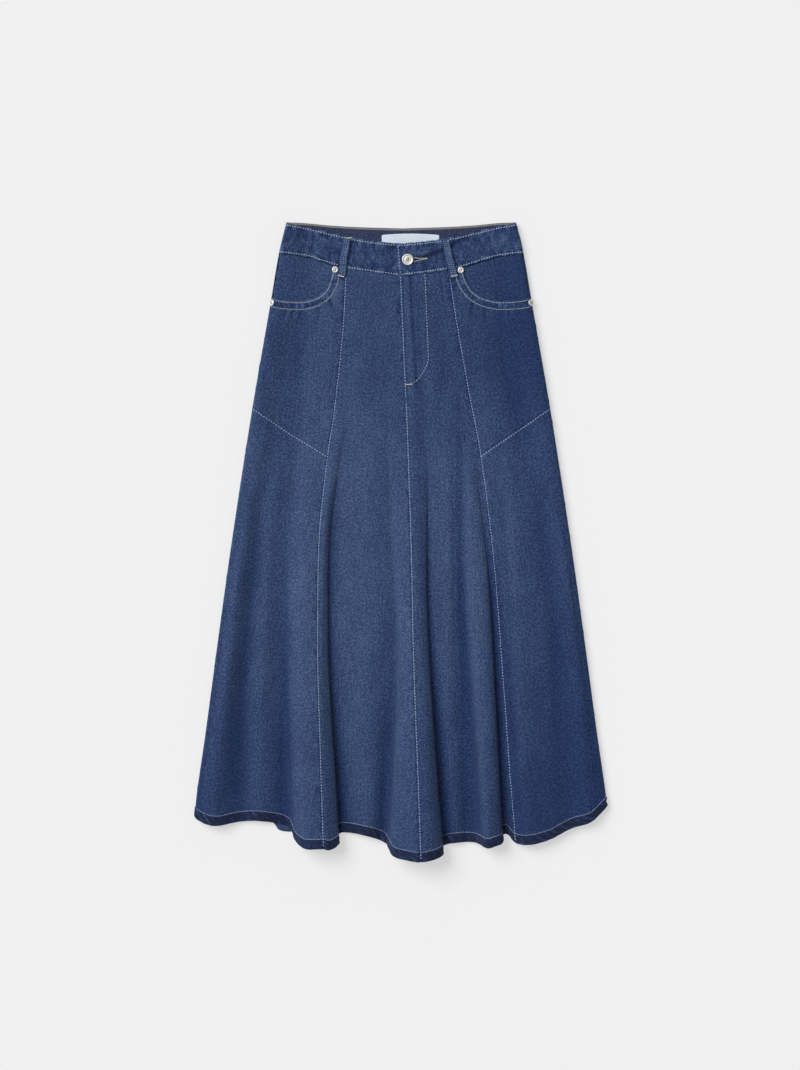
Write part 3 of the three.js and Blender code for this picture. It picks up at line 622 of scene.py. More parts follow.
def fly_shape(p, from_centre):
    """The front stands up over the zip, and the fly's facing shows through as a J."""
    below = LENGTH / 2 - p[..., 1] - CENTRE["top"]
    lift = (1 - smooth(from_centre, FLY["width"] * 0.7, FLY["width"] * 1.4)) * FLY["lift"]
    lift = lift * (1 - smooth(below, 0, FLY["length"]))
    left = np.clip((FLY["length"] - below) / FLY["width"], 0, 1)
    width = FLY["width"] * np.sqrt(1 - (1 - left) ** 2)
    facing = FLY["raise"] * (1 - smooth(from_centre, width - 2, width + 2)) * (below <= FLY["length"])
    return lift + facing


HIP_SEAM = {"inner": 326, "outer": 257}  # its drop at both ends


def share_down(gore, share, drop):
    """The share t at which a thread of the gore is as far down as drop."""
    t = np.full(np.shape(share), 0.2)
    for _ in range(6):
        t = t + (drop - (LENGTH / 2 - on_grid(cloth[gore], share, t)[..., 1])) / GORE_DROP
    return np.clip(t, 0, 1)


def hip_seam_share(gore, share):
    outward = 1 - share if gore == "side_left" else share
    return share_down(gore, share, HIP_SEAM["inner"] + (HIP_SEAM["outer"] - HIP_SEAM["inner"]) * outward)


def fly_marks(left, along):
    """The fly's worn edge, the groove beside it with painted shade in it, and the dents of its stitches,
    darkened with painted shade: height, rubbed and shade.
    """
    fly = 1 - smooth(along, FLY["length"] - 12, FLY["length"] + 20)
    streak = bell(left - FLY_STREAK[0], FLY_STREAK[1]) * (0.8 + 0.4 * wavering(along / 13, left / 5, 27))
    groove = bell(left - FLY_GROOVE[0] - along / 60, FLY_GROOVE[1]) * (0.7 + 0.5 * wavering(along / 16, 0, 28))
    notch = (0.5 + 0.5 * np.sin(2 * math.pi * along / 4.2)) * bell(left - FLY_NOTCH[0], FLY_NOTCH[1])
    return (fly * (0.6 * streak - 0.8 * groove) - 0.3 * notch,
            fly * 0.7 * streak + 0.9 * bell(left, 1.5),
            fly * 0.9 * groove + (0.4 + 0.4 * fly) * notch)


def hem_marks(left, to_hem, seed):
    """Where the hem is turned, how it ropes, and how far it stands off."""
    in_hem = 1 - smooth(to_hem, HEM["depth"] - 1.2, HEM["depth"] + 0.6)
    round_hem = left + HEM["slant"] * to_hem + 5 * wavering(left / 40, to_hem / 9, seed + 7)
    rope = np.sin(2 * math.pi * round_hem / HEM["rope_pitch"]) * (0.5 + 0.5 * wavering(left / 22, 0, seed + 4))
    rope = rope + 0.5 * wavering(round_hem / 3.2, to_hem / 5, seed + 9)
    stand = in_hem * (HEM["raise"] + HEM["rope_depth"] * rope)
    return in_hem, rope, stand + 0.3 * wavering(left / 9, 0, seed + 6) * bell(to_hem - HEM["depth"], 7)


def relief(gore, share, t):
    """How far the cloth stands off its main form, how rubbed it is there, with painted highlights on ridges and
    crests, and how deep in colour, with painted shade in folds, creases and dips.
    """
    share, t = np.broadcast_arrays(np.asarray(share, float), np.asarray(t, float))
    p = on_grid(cloth[gore], share, t)
    width, length = width_at(gore, t), length_at(gore, share)
    seed = list(GORES).index(gore) * 3
    left, right = share * width, (1 - share) * width
    near = np.minimum(left, right)
    along, to_hem = t * length, (1 - t) * length
    height = creases_at(p)
    for wave, (grain, run, depth) in enumerate(WAVES):
        height = height + depth * wavering(left / grain, along / run, seed + wave)
    pucker = seam_wave(along, left, seed) + seam_wave(along, right, seed + 1)
    height = height * smooth(near, 0, 14) + pucker + ditch(left) + ditch(right) + ditch(along)
    height = height + seam_wave(p[..., 0], along, seed + 5) * 1.3
    rubbed_and_lit, shade = painted_light_at(gore, share, t, p)
    wear = wavering(left / WEAR["across"], along / WEAR["along"], seed + 12) * bell(near, WEAR["reach"])
    rubbed_and_lit = rubbed_and_lit + WEAR["rubbed_and_lit"] * np.maximum(wear, 0)
    # the puckers are paler on their crests and darker in their dips: painted highlight and painted shade
    rubbed_and_lit = rubbed_and_lit + 0.20 * bell(near, 2.6) + PUCKER["fade"] * np.maximum(pucker, 0)
    shade = shade + WEAR["shade"] * np.maximum(-wear, 0)
    shade = shade + 0.45 * bell(near, 0.9) + PUCKER["fade"] * np.maximum(-pucker, 0)
    if gore.startswith("centre"):
        ridge = bell((left if gore == "centre_left" else right) - ALLOWANCE["at"], ALLOWANCE["width"])
        ridge = ridge * (0.6 + 0.6 * wavering(along / 11, 0, seed + 8))
        height = height + ALLOWANCE["raise"] * ridge
        rubbed_and_lit = rubbed_and_lit + 0.22 * np.maximum(ridge, 0)
    if gore == "centre_right":
        more, more_rubbed, more_shade = fly_marks(left, along)
        height = height + fly_shape(p, left) + more
        rubbed_and_lit, shade = rubbed_and_lit + more_rubbed, shade + more_shade
    # painted shadow that the flutes cast into the troughs beside the right seam
    if gore in TROUGH_SHADOWS:
        depth, reach = TROUGH_SHADOWS[gore]
        shade = shade + depth * smooth(t, 0.42, 0.7) * bell(left if gore == "side_right" else right, reach)
    if gore.startswith("side"):
        off = (t - hip_seam_share(gore, share)) * length
        height = height + ditch(off) + seam_wave(p[..., 0], off, seed + 2)
        rubbed_and_lit = rubbed_and_lit + 0.22 * bell(off, 2.4)
    in_hem, rope, stand = hem_marks(left, to_hem, seed)
    shade = np.clip(shade, 0, 1) * (1 - in_hem) + in_hem * (1.75 - 1.1 * rope)
    rubbed_and_lit = rubbed_and_lit + in_hem * (0.85 * np.maximum(rope, 0) - 0.5) + 0.35 * bell(to_hem, 1.3)
    # the cloth can't sink into the back, which lies under it
    height = np.maximum(height + stand, np.minimum(0, LOWEST_FACE - p[..., 2]))
    return height, rubbed_and_lit, np.clip(shade, 0, 2)


def front_at(gore, share, t, off=0.0):
    """Places on the finished face of the front, and the way they face."""
    share, t = np.broadcast_arrays(np.asarray(share, float), np.asarray(t, float))
    height, _, _ = relief(gore, share, t)
    normal = on_grid(facing_up[gore], share, t)
    return on_grid(cloth[gore], share, t) + normal * (height + off)[..., None], normal


# A wall of cloth: its face, its reverse, and an edge that is turned round between them. The marks are values
# at the face's points, which its finish reads.
def border(rows, columns):
    top = [(0, j) for j in range(columns)]
    right = [(i, columns - 1) for i in range(1, rows)]
    foot = [(rows - 1, j) for j in range(columns - 2, -1, -1)]
    left = [(i, 0) for i in range(rows - 2, 0, -1)]
    return np.array(top + right + foot + left)


def new_piece(name, points, faces, finish, replaces=()):
    """A smooth mesh, with its points in metres, which rides on the skirt's one body."""
    mesh = bpy.data.meshes.new(name)
    mesh.from_pydata(points, [], faces)
    mesh.polygons.foreach_set("use_smooth", np.ones(len(mesh.polygons), bool))
    mesh.materials.append(finish)
    piece = bpy.data.objects.new(name, mesh)
    scene.collection.objects.link(piece)
    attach(piece, "root")
    for node in replaces:
        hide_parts(node)
    return piece


def cloth_wall(name, face, reverse, finish, marks=None, replaces=(), round_edge=0.4):
    rows, columns = face.shape[:2]
    edge = border(rows, columns)
    inner = np.stack((np.clip(edge[:, 0], 1, rows - 2), np.clip(edge[:, 1], 1, columns - 2)), -1)
    at_edge, below = face[edge[:, 0], edge[:, 1]], reverse[edge[:, 0], edge[:, 1]]
    outward = at_edge - face[inner[:, 0], inner[:, 1]]
    outward = outward / np.maximum(np.linalg.norm(outward, axis=-1, keepdims=True), 1e-9)
    thick = np.linalg.norm(at_edge - below, axis=-1, keepdims=True)
    turned = (at_edge + below) / 2 + outward * thick * round_edge
    count = rows * columns
    points = np.vstack((face.reshape(-1, 3), reverse.reshape(-1, 3), turned)) * MM
    grid = np.arange(count).reshape(rows, columns)
    a, b, c, d = grid[:-1, :-1], grid[1:, :-1], grid[1:, 1:], grid[:-1, 1:]
    faces = [np.stack((a, b, c, d), -1).reshape(-1, 4), np.stack((a, d, c, b), -1).reshape(-1, 4) + count]
    ring = edge[:, 0] * columns + edge[:, 1]
    here, there = ring, np.roll(ring, -1)
    middle = 2 * count + np.arange(len(ring))
    next_middle = np.roll(middle, -1)
    faces.append(np.stack((here, there, next_middle, middle), -1))
    faces.append(np.stack((middle, next_middle, there + count, here + count), -1))
    piece = new_piece(name, points.tolist(), np.vstack(faces).tolist(), finish, replaces)
    for mark, values in (marks or {}).items():
        flat = np.asarray(values, float).reshape(count, -1)
        kind, slot = ("FLOAT_VECTOR", "vector") if flat.shape[1] == 3 else ("FLOAT", "value")
        layer = piece.data.attributes.new(mark, kind, "POINT")
        layer.data.foreach_set(slot, np.vstack((flat, flat, flat[ring])).ravel())
    return piece


# The front panels. Each is cut from denim of about 0.4 kg to the square metre, turned up once at the hem, and
# joined to its neighbours by a felled seam, so that its long edges roll down into a narrow ditch.
CLOTH = 1.4


def front_panel(node, gore, columns, rows, top, foot, thick=CLOTH, under=0.0, extra=None):
    """top and foot give the share t at the panel's ends, for each column's share across."""
    share = np.broadcast_to(columns, (len(rows), len(columns)))
    t = np.broadcast_to(top + (foot - top) * rows[:, None], share.shape)
    height, rubbed_and_lit, shade = relief(gore, share, t)
    if extra is not None:
        more, more_rubbed, more_shade = extra(gore, share, t)
        height, rubbed_and_lit, shade = height + more, rubbed_and_lit + more_rubbed, np.clip(shade + more_shade, 0, 1)
    place = on_grid(cloth[gore], share, t)
    normal = on_grid(facing_up[gore], share, t)
    face = place + normal * (height - under)[..., None]
    reverse = place + normal * (np.minimum(height, 0) - under - thick)[..., None]
    seed = 400 * list(GORES).index(gore) + 3000 * (under > 0)
    grain = (share * width_at(gore, t) + seed, -t * length_at(gore, share) + seed, np.zeros(t.shape))
    marks = {"cloth": np.stack(grain, -1) * MM, "rubbed_and_lit": rubbed_and_lit, "shade": shade}
    return cloth_wall(node + "_cloth", face, reverse, face_denim, marks, [node])


def spread(count):
    """Shares from 0 to 1, closer together at both ends."""
    even = np.linspace(0, 1, count)
    return 0.3 * even + 0.35 * (1 - np.cos(math.pi * even))


def runs(*parts):
    """Shares from 0 on, in runs of even steps: each run's end and its number of shares."""
    shares, start = [np.zeros(1)], 0
    for end, count in parts:
        shares.append(np.linspace(start, end, count)[1:])
        start = end
    return np.concatenate(shares)


FRONT_PANELS = {
    "front_centre_left": {"gore": "centre_left", "columns": 112, "rows": 300, "length": GORE_LENGTH,
                          "cut": (0.190, 0.860), "area": 0.121},
    "front_centre_right": {"gore": "centre_right", "columns": 128, "rows": 300, "length": GORE_LENGTH,
                           "cut": (0.240, 0.860), "area": 0.131},
    "front_side_left": {"gore": "side_left", "columns": 110, "rows": 190, "length": 580,
                        "cut": (0.235, 0.590), "area": 0.095},
    "front_side_right": {"gore": "side_right", "columns": 100, "rows": 190, "length": 580,
                         "cut": (0.200, 0.590), "area": 0.075},
}
for name, panel in FRONT_PANELS.items():
    gore, columns = panel["gore"], spread(panel["columns"])
    hem_share = (HEM["depth"] + 6) / panel["length"]
    rows = runs((1 - hem_share, panel["rows"]), (1, 20))
    top = 0.0 if gore.startswith("centre") else hip_seam_share(gore, columns)
    piece = front_panel(name, gore, columns, rows, top, 1.0)
    "back_left" if "left" in name else "back_right"

# The hip panels and, behind their curved pocket mouths, the facings. The mouth's edge is turned and held by two
# rows of stitching, which draw it into small puckers.
MOUTH = {"share": (0, 0.2, 0.42, 0.6, 0.72, 0.785, 0.815, 0.825),
         "drop": (104, 109, 110, 106, 97.5, 85, 70, 60)}
MOUTH_TURN = 0.825
MOUTH_ROWS = (2.0, 11.3)  # the stitch rows' distance from the edge
MOUTH_SPAN = 106.0  # the width that the mouth is part of
FACING_OVERLAP = 11
mouth_at = through(MOUTH["share"], MOUTH["drop"])


def from_side(gore, share):
    return share if gore == "side_left" else 1 - share


def mouth_share(gore, share):
    """Where a thread of the side gore meets the pocket mouth, or the waist seam past it."""
    out = from_side(gore, share)
    return np.where(out < MOUTH_TURN, share_down(gore, share, mouth_at(out)), 0.0)


def mouth_line(gore, inset=0.0):
    """Points along the mouth in the panel's plane, moved inset below it."""
    out = runs((0.7, 60), (MOUTH_TURN, 50))
    width, drop = MOUTH_SPAN, mouth_at(out)
    x = out * width
    slope_x, slope_y = np.gradient(x), np.gradient(drop)
    size = np.hypot(slope_x, slope_y)
    x, drop = x - inset * slope_y / size, drop + inset * slope_x / size
    return from_side(gore, x / width), drop


def mouth_relief(gore, share, t):
    """The turned edge of the mouth, with its puckers: paler on the worn edge and, with painted highlights, on
    the puckers' crests, and with painted shade between the rows and in the puckers' dips.
    """
    p = on_grid(cloth[gore], share, t)
    line_share, line_drop = mouth_line(gore)
    line = on_grid(cloth[gore], line_share, share_down(gore, line_share, line_drop))
    gap = np.linalg.norm(p[..., None, :2] - line[None, None, :, :2], axis=-1)
    nearest = gap.argmin(-1)
    away = gap.min(-1)
    along = run_along(line)[nearest]
    turned = 1 - smooth(away, MOUTH_ROWS[1] - 1, MOUTH_ROWS[1] + 1)
    ripple = 1.7 * wavering(along / 1.7, away / 9, 21) * turned
    fan = 2.6 * wavering((along + 0.25 * away) / 3.4, away / 60, 22)
    fan = fan * smooth(away, MOUTH_ROWS[1], MOUTH_ROWS[1] + 3) * bell(away - MOUTH_ROWS[1], 14)
    groove = -0.3 * sum(bell(away - row, 0.9) for row in MOUTH_ROWS)
    rubbed_and_lit = 1.1 * bell(away, 2.8, 4) + 0.6 * np.maximum(ripple, 0) + 0.5 * np.maximum(fan, 0)
    rubbed_and_lit = rubbed_and_lit + 0.5 * bell(away - MOUTH_ROWS[1], 1.5)
    # painted shade between the rows and in the puckers' dips
    between = bell(away - 6.6, 2.6, 4)
    shade = between * (0.40 - 1.1 * ripple) + 0.5 * np.maximum(-fan, 0)
    return 0.6 * turned + 0.4 * ripple + 0.6 * fan + groove, rubbed_and_lit, shade


for side in ("left", "right"):
    gore = "side_" + side
    columns = np.sort(from_side(gore, runs((0.1, 9), (0.70, 40), (0.835, 34), (1, 14))))
    piece = front_panel(f"hip_{side}", gore, columns, runs((0.12, 22), (1, 60)),
                        mouth_share(gore, columns), hip_seam_share(gore, columns), extra=mouth_relief)
    columns = np.sort(from_side(gore, runs((0.1, 8), (0.9, 40))))
    out = np.minimum(from_side(gore, columns), MOUTH_TURN)
    foot = share_down(gore, columns, np.maximum(mouth_at(out), 60) + FACING_OVERLAP)
    piece = front_panel(f"pocket_facing_{side}", gore, columns, np.linspace(0, 1, 30), 0.0, foot,
                        thick=1.1, under=CLOTH + 0.45)

# The waistband: strips of denim, each folded double along the garment's top. The front's right end laps over its
# left one, for the button. Both long edges are stitched, which ropes them a little.
BAND = 2.4  # its two layers
BAND_DEPTH = 43  # from its top to its seam
BAND_REST = 5.8  # how high it lies
UNDERLAP = 22
OVERLAP_LIFT = 2.7
FRONT_TOP = {"out": (0, 40, 74, 100, 130, 161), "drop": (30, 26, 20, 14, 7, 1.5)}
BACK_TOP = {"out": (0, 60, 95, 140, 161), "drop": (8.5, 6.6, 4.6, 0.6, 0)}
BACK_SEAM_DROP = 46
BAND_EDGE_ROWS = 1.8  # from the edge to its row of stitches
BAND_LEAN = 3.6  # how far the right end leans over at its top
BAND_GRID = (54, 230)  # its points from top to seam, and along
front_top_at = through(FRONT_TOP["out"], FRONT_TOP["drop"])
back_top_at = through(BACK_TOP["out"], BACK_TOP["drop"])
BAND_WIDTH = float(side_at(20)) + (math.pi / 2 - 1) * FOLD_AT_WAIST
OPENING = centre_front(0) / BAND_WIDTH
UNDER = UNDERLAP / BAND_WIDTH


def band_end(row):
    """The share at which the waistband's right end lies."""
    return OPENING - BAND_LEAN / BAND_WIDTH * (1 - row)


def bowed_round(share, drop, radius, up, level_at):
    """Places level in the middle and bowed round at both sides; up is 1 on top and -1 underneath."""
    flat, bow = side_at(drop) - radius, radius * math.pi / 2
    sign, along = np.where(share < 0, -1, 1), np.abs(share) * (flat + bow)
    angle = np.clip((along - flat) / bow, 0, 1) * math.pi / 2
    x = np.where(along <= flat, along, flat + radius * np.sin(angle))
    z = np.where(along <= flat, level_at(flat - along), radius + up * radius * np.cos(angle))
    normal = np.stack((sign * np.sin(angle), np.zeros(x.shape), up * np.cos(angle)), -1)
    return np.stack((sign * x, LENGTH / 2 - drop, z), -1), normal


def band_at(share, row, lift=0.0):
    """Places on the front waistband's main form: share from -1 to 1 round the front, row from top to seam."""
    share, row = np.broadcast_arrays(np.asarray(share, float), np.asarray(row, float))
    r = FOLD_AT_WAIST

    def out_at(side):
        past = np.abs(share) * (side - r + r * math.pi / 2) - (side - r)
        return side - r + np.where(past <= 0, past, r * np.sin(np.maximum(past, 0) / r))

    def level_at(inward):
        return BAND_REST + (2 * r - BAND_REST) * bell(np.maximum(inward, 0), SIDE_SPREAD) + lift

    top = front_top_at(out_at(float(side_at(0))))
    seam = waist_seam_at(out_at(float(side_at(SIDE_TOP)))) + 0.6
    return bowed_round(share, top + (seam - top) * row, r, 1, level_at)


def band_lift(share, right):
    """The right end lies on top of the left one."""
    if not right:
        return np.zeros(np.shape(share))
    return OVERLAP_LIFT * (1 - smooth(share, 1.15 * UNDER, 2.4 * UNDER))


# The crease that the button pulls into the right half, from its hole out past the loop, as x and y
PULL = {"line": ((31, 397.5), (46, 402.5), (58.5, 407), (70, 413.5), (86, 423)), "depth": 1.9, "width": 2.3}


def pull_crease(p):
    line = np.array(PULL["line"], float)
    best = np.full(p.shape[:-1], 1e9)
    side = np.zeros(p.shape[:-1])
    for a, b in zip(line, line[1:]):
        s = np.clip(((p[..., :2] - a) @ (b - a)) / ((b - a) @ (b - a)), 0, 1)
        off = p[..., :2] - (a + s[..., None] * (b - a))
        gap = np.linalg.norm(off, axis=-1)
        side = np.where(gap < best, off[..., 1], side)
        best = np.minimum(best, gap)
    past_end = np.maximum(best - np.abs(side), 0)
    return -PULL["depth"] * np.exp(-((side / PULL["width"]) ** 2 + (past_end / 6) ** 2))


# The buttonhole tapers away from the button: its ends as x and drop, and half its width at the wide one
HOLE = {"wide": (16.8, 51.6), "tip": (34.8, 49.6), "half": 2.7, "taper": 2.2}


def buttonhole_slit(p):
    s = (p[..., 0] - HOLE["wide"][0]) / (HOLE["tip"][0] - HOLE["wide"][0])
    middle = HOLE["wide"][1] + (HOLE["tip"][1] - HOLE["wide"][1]) * s
    half = HOLE["half"] * np.clip(1 - s, 0, 1) ** HOLE["taper"] * 0.7 + 0.25
    across_slit = (LENGTH / 2 - p[..., 1] - middle) / half
    return np.exp(-(across_slit**4)) * smooth(s, -0.15, -0.05) * (1 - smooth(s, 0.92, 1.0))


def band_face(share, row, right):
    """The waistband's finished face: its places, normals, how rubbed and lit, how deep in colour, with painted
    shade in its dips, its crease and its buttonhole slit, and how far round.
    """
    p, normal = band_at(share, row, band_lift(share, right))
    along = share * BAND_WIDTH
    from_top, from_seam = row * BAND_DEPTH, (1 - row) * BAND_DEPTH
    crumple = 0.8 * wavering(along / 5, from_top / 9, 35) + 0.6 * wavering(along / 2.4, from_top / 5, 36)
    height = 0.7 * wavering(along / 30, from_top / 20, 31) + 0.5 * crumple
    edge = np.minimum(from_top, from_seam)
    rope = 2.2 * wavering(along / 3.6 + edge / 6, edge / 7, 33) * bell(edge, 5.5)
    height = height * smooth(edge, 0, 6) + 0.42 * rope
    height = height - 0.35 * bell(edge - BAND_EDGE_ROWS, 0.9)
    rubbed_and_lit = 0.75 * bell(edge, 1.5) + 0.7 * np.maximum(rope, 0) + 0.34 * np.maximum(crumple, 0)
    # the ropes and crumples are paler on their crests and darker in their dips: painted highlight and painted
    # shade
    shade = 0.55 + 0.25 * bell(edge - 5, 3) - 0.70 * rope - 0.52 * crumple
    if right:
        crease = pull_crease(p)
        height = height + crease
        # painted shade in the pull crease
        shade = shade - 0.75 * crease
        rubbed_and_lit = rubbed_and_lit + 1.1 * bell((share - band_end(row)) * BAND_WIDTH, 1.8)
        slit = buttonhole_slit(p)
        height = height - 0.7 * slit
        # painted shade in the buttonhole slit
        shade = shade + slit
    return p + normal * height[..., None], normal, rubbed_and_lit, np.clip(shade, 0, 1.5), along


for name, start, end, cut in (
    ("waistband_left", -1.0, UNDER, (0.196, 0.046)),
    ("waistband_right", OPENING, 1.0, (0.175, 0.046)),
):
    right = name == "waistband_right"
    share = np.broadcast_to(np.linspace(start, end, BAND_GRID[1]), BAND_GRID)
    row = np.broadcast_to(spread(BAND_GRID[0])[:, None], BAND_GRID)
    if right:
        share = band_end(row) + (share - start) / (end - start) * (end - band_end(row))
    face, normal, rubbed_and_lit, shade, along = band_face(share, row, right)
    main, _ = band_at(share, row, band_lift(share, right))
    grain = np.stack((row * BAND_DEPTH + 5000, along + 5000, np.zeros(row.shape)), -1) * MM
    piece = cloth_wall(name + "_cloth", face, main - normal * BAND, face_denim,
                       {"cloth": grain, "rubbed_and_lit": rubbed_and_lit, "shade": shade}, [name], 0.45)


# The back. It lies flat on the table, so its own face is the underside, and it turns up at both sides to meet
# the front. It is two panels with a seam down the middle, under the back half of the waistband.
BACK_HEM = {
    "x": (-289, -240, -200, -180, -169, -155, -110, -70, -20, 30, 90, 143, 180, 230, 289),
    "drop": (826, 832, 831, 836, 850, 852, 846, 846, 854, 860, 856, 844, 850, 840, 808),
}
back_hem_at = through(BACK_HEM["x"], BACK_HEM["drop"])


def back_piece(name, columns, rows, top, foot, thick, finish=face_denim):
    """A piece of the back, whose face is the underside: top and foot give its drop at a share across."""
    share = np.broadcast_to(columns[::-1], (len(rows), len(columns)))
    drop = top(share) + (foot(share) - top(share)) * rows[:, None]
    radius = fold_radius(np.clip((drop - BACK_SEAM_DROP) / GORE_DROP, 0, 1))
    face, normal = bowed_round(share, drop, radius, -1, np.zeros_like)
    to_hem = foot(share) - drop
    reverse = face - normal * thick
    swell = 0.25 * wavering(face[..., 0] / 9, drop / 12, 41) * bell(to_hem, 14)
    reverse[..., 2] += np.maximum(swell, 0)
    in_hem = 1 - smooth(to_hem, HEM["depth"] - 1, HEM["depth"] + 1)
    grain = np.stack((share * side_at(drop) + 7000, -drop + 7000, np.zeros(drop.shape)), -1) * MM
    marks = {"cloth": grain, "rubbed_and_lit": 0.3 * bell(to_hem, 2) + 0.1, "shade": 0.35 * in_hem}
    piece = cloth_wall(name + "_cloth", face, reverse, finish, marks, [name])


def hem_of_back(share):
    return back_hem_at(share * float(side_at(HEM_AT_SIDE["left"])))


def drop_at_seam(offset):
    return lambda share: np.full(share.shape, BACK_SEAM_DROP + offset)


half = runs((0.94, 60), (1, 12))
for name, sign in (("back_left", -1), ("back_right", 1)):
    back_piece(name, np.sort(sign * half), np.linspace(0, 1, 120), drop_at_seam(0.1), hem_of_back, CLOTH)
INSIDE_INDIGO, INSIDE_PALE = (0.016, 0.026, 0.070, 1), (0.048, 0.064, 0.130, 1)
back_piece("waistband_back", np.concatenate((-half[::-1], half[1:])), np.linspace(0, 1, 24),
           lambda share: back_top_at(np.abs(share) * float(side_at(0))), drop_at_seam(-0.1), BAND,
           denim("denim_back_band", INSIDE_INDIGO, INSIDE_PALE))

# The back waistband's top edge is bound with a narrow khaki tape, which shows in the opening. It lies on the
# band's inner face and stops just short of both sides.
TAPE = {"width": 2.1, "reach": 0.968, "khaki": (0.30, 0.285, 0.26, 1), "worn": (0.13, 0.125, 0.13, 1)}


def edge_tape():
    finish, tree, shader = new_finish("khaki_tape", {"Roughness": 0.8})
    grain = unevenness(tree, object_place(tree), (1.2, 1.2), 3)
    tree.links.new(shift(tree, TAPE["khaki"], TAPE["worn"], grain), shader.inputs["Base Color"])
    out = np.linspace(-TAPE["reach"], TAPE["reach"], 300) * float(side_at(0))
    fall = np.linspace(0, 1, 5)[:, None]
    drop = back_top_at(np.abs(out))[None, :] + 0.25 + fall * TAPE["width"]
    x = np.broadcast_to(out, drop.shape)
    bulge = 0.35 * (1 - (2 * fall - 1) ** 2) + 0.08 * wavering(x / 2.5, fall * 2, 61)
    face, reverse = (np.stack((x, LENGTH / 2 - drop, np.broadcast_to(z, drop.shape)), -1)
                     for z in (BAND + 0.35 + bulge, BAND + 0.05))
    cloth_wall("waist_edge_tape", face, reverse, finish)


edge_tape()

# Belt loops: each a narrow strip turned in three and twisted by its own stitching. It is tacked at the
# waistband's two edges, and its foot lies on the panel.
LOOPS = {
    "belt_loop_left": {"top": (-76.4, 22), "foot": (-83.7, 75.5)},
    "belt_loop_right": {"top": (61.3, 23.6), "foot": (74, 76)},
}
LOOP = {"width": 11.4, "wall": 1.8, "rise": 1.2}
LOOP_GRID = (90, 19)  # its points from top to foot, and across
loop_faces = {}


def front_gore_at(x, drop):
    """The gore, and the shares across and down, of a place on the front."""
    t = 0.05
    for _ in range(6):
        gore = next((g for g in GORES if x <= GORES[g][1](t)), "side_right")
        shares = np.linspace(0, 1, 400)
        line = on_grid(cloth[gore], shares, np.full(400, t))
        share = float(np.interp(x, line[:, 0], shares))
        y = on_grid(cloth[gore], np.array(share), np.array(t))[1]
        t = float(np.clip(t + (drop - (LENGTH / 2 - y)) / GORE_DROP, 0, 1))
    return gore, share, t


def top_face(x, drop):
    """The finished face at a place seen from above, on the waistband or on the front."""
    if drop < float(waist_seam_at(abs(x))):
        share = x / BAND_WIDTH
        top = float(front_top_at(abs(x)))
        row = (drop - top) / (float(waist_seam_at(abs(x))) - top)
        right = share > OPENING
        p, normal, *_ = band_face(np.array([share]), np.array([row]), right)
        return p[0], normal[0]
    gore, share, t = front_gore_at(x, drop)
    p, normal = front_at(gore, np.array([share]), np.array([t]))
    return p[0], normal[0]


for name, loop in LOOPS.items():
    run, crosswise = np.linspace(0, 1, LOOP_GRID[0]), np.linspace(-1, 1, LOOP_GRID[1])
    face, reverse = np.zeros((*LOOP_GRID, 3)), np.zeros((*LOOP_GRID, 3))
    for i, s in enumerate(run):
        x, drop = np.array(loop["top"]) * (1 - s) + np.array(loop["foot"]) * s
        level = max(top_face(x + e * LOOP["width"] / 2, drop)[0][2] for e in (-1, 0, 1))
        lift = level + 0.15 + LOOP["rise"] * math.sin(math.pi * s) ** 0.6
        twist = wavering(crosswise * 1.4 + s * 14, s * 6, 51)
        wave = 0.35 * math.sin(s * 9) + 0.2 * math.sin(s * 23)
        crown = 0.5 * (1 - crosswise**4) + 0.10 * np.sin(crosswise * 2.6 + s * 96) + 0.14 * twist
        reverse[i, :, 0] = x + crosswise * (LOOP["width"] / 2) * (1 - 0.05 * abs(math.sin(s * 11))) + wave
        reverse[i, :, 1], reverse[i, :, 2] = LENGTH / 2 - drop, lift
        face[i] = reverse[i]
        face[i, :, 2] = lift + LOOP["wall"] - 0.5 + crown
    loop_faces[name] = face
    run, crosswise = run[:, None], crosswise[None, :]
    ridge = 0.6 * np.sin(crosswise * 2.6 + run * 96) + 1.2 * wavering(crosswise * 3.4 + 3, run * 30, 52)
    # painted shade along the loop's two edges, where it rounds down
    shade = 0.35 + 0.5 * np.maximum(-ridge, 0) + 0.6 * bell(1 - np.abs(crosswise), 0.16)
    grain = np.stack(np.broadcast_arrays(crosswise * 5.5 + 9000, run * 55, 0 * ridge), -1) * MM
    marks = {"cloth": grain, "rubbed_and_lit": 0.15 + 1.1 * np.maximum(ridge, 0), "shade": shade}
    piece = cloth_wall(name + "_cloth", face, reverse, face_denim, marks, [name])
    carrier = "waistband_left" if "left" in name else "waistband_right"

# Topstitching: stout pale thread, each stitch a short rod that dives into the cloth at both ends. The rows at
# the hem and the waistband are a little greyer, and those at the pockets are tan.
THREADS = {
    "topstitch_pale": (0.44, 0.57, 0.82, 1), "topstitch_tan": (0.52, 0.53, 0.55, 1),
    "bartack_white": (0.72, 0.68, 0.60, 1), "topstitch_edge": (0.50, 0.60, 0.76, 1),
}
STITCH = {"pitch": 4.2, "length": 2.7, "width": 1.05, "height": 0.5}
ON_CLOTH = 0.05  # how far a row's line lies off the cloth
ON_BAND = 0.08
# Each ring of a rod: its share along, its size and how far it stands off
ROD_RINGS = ((0.0, 0.25, -0.6), (0.12, 0.8, 0.0), (0.5, 1.0, 0.55), (0.88, 0.8, 0.0), (1.0, 0.25, -0.6))
ROD_SIDES = 6


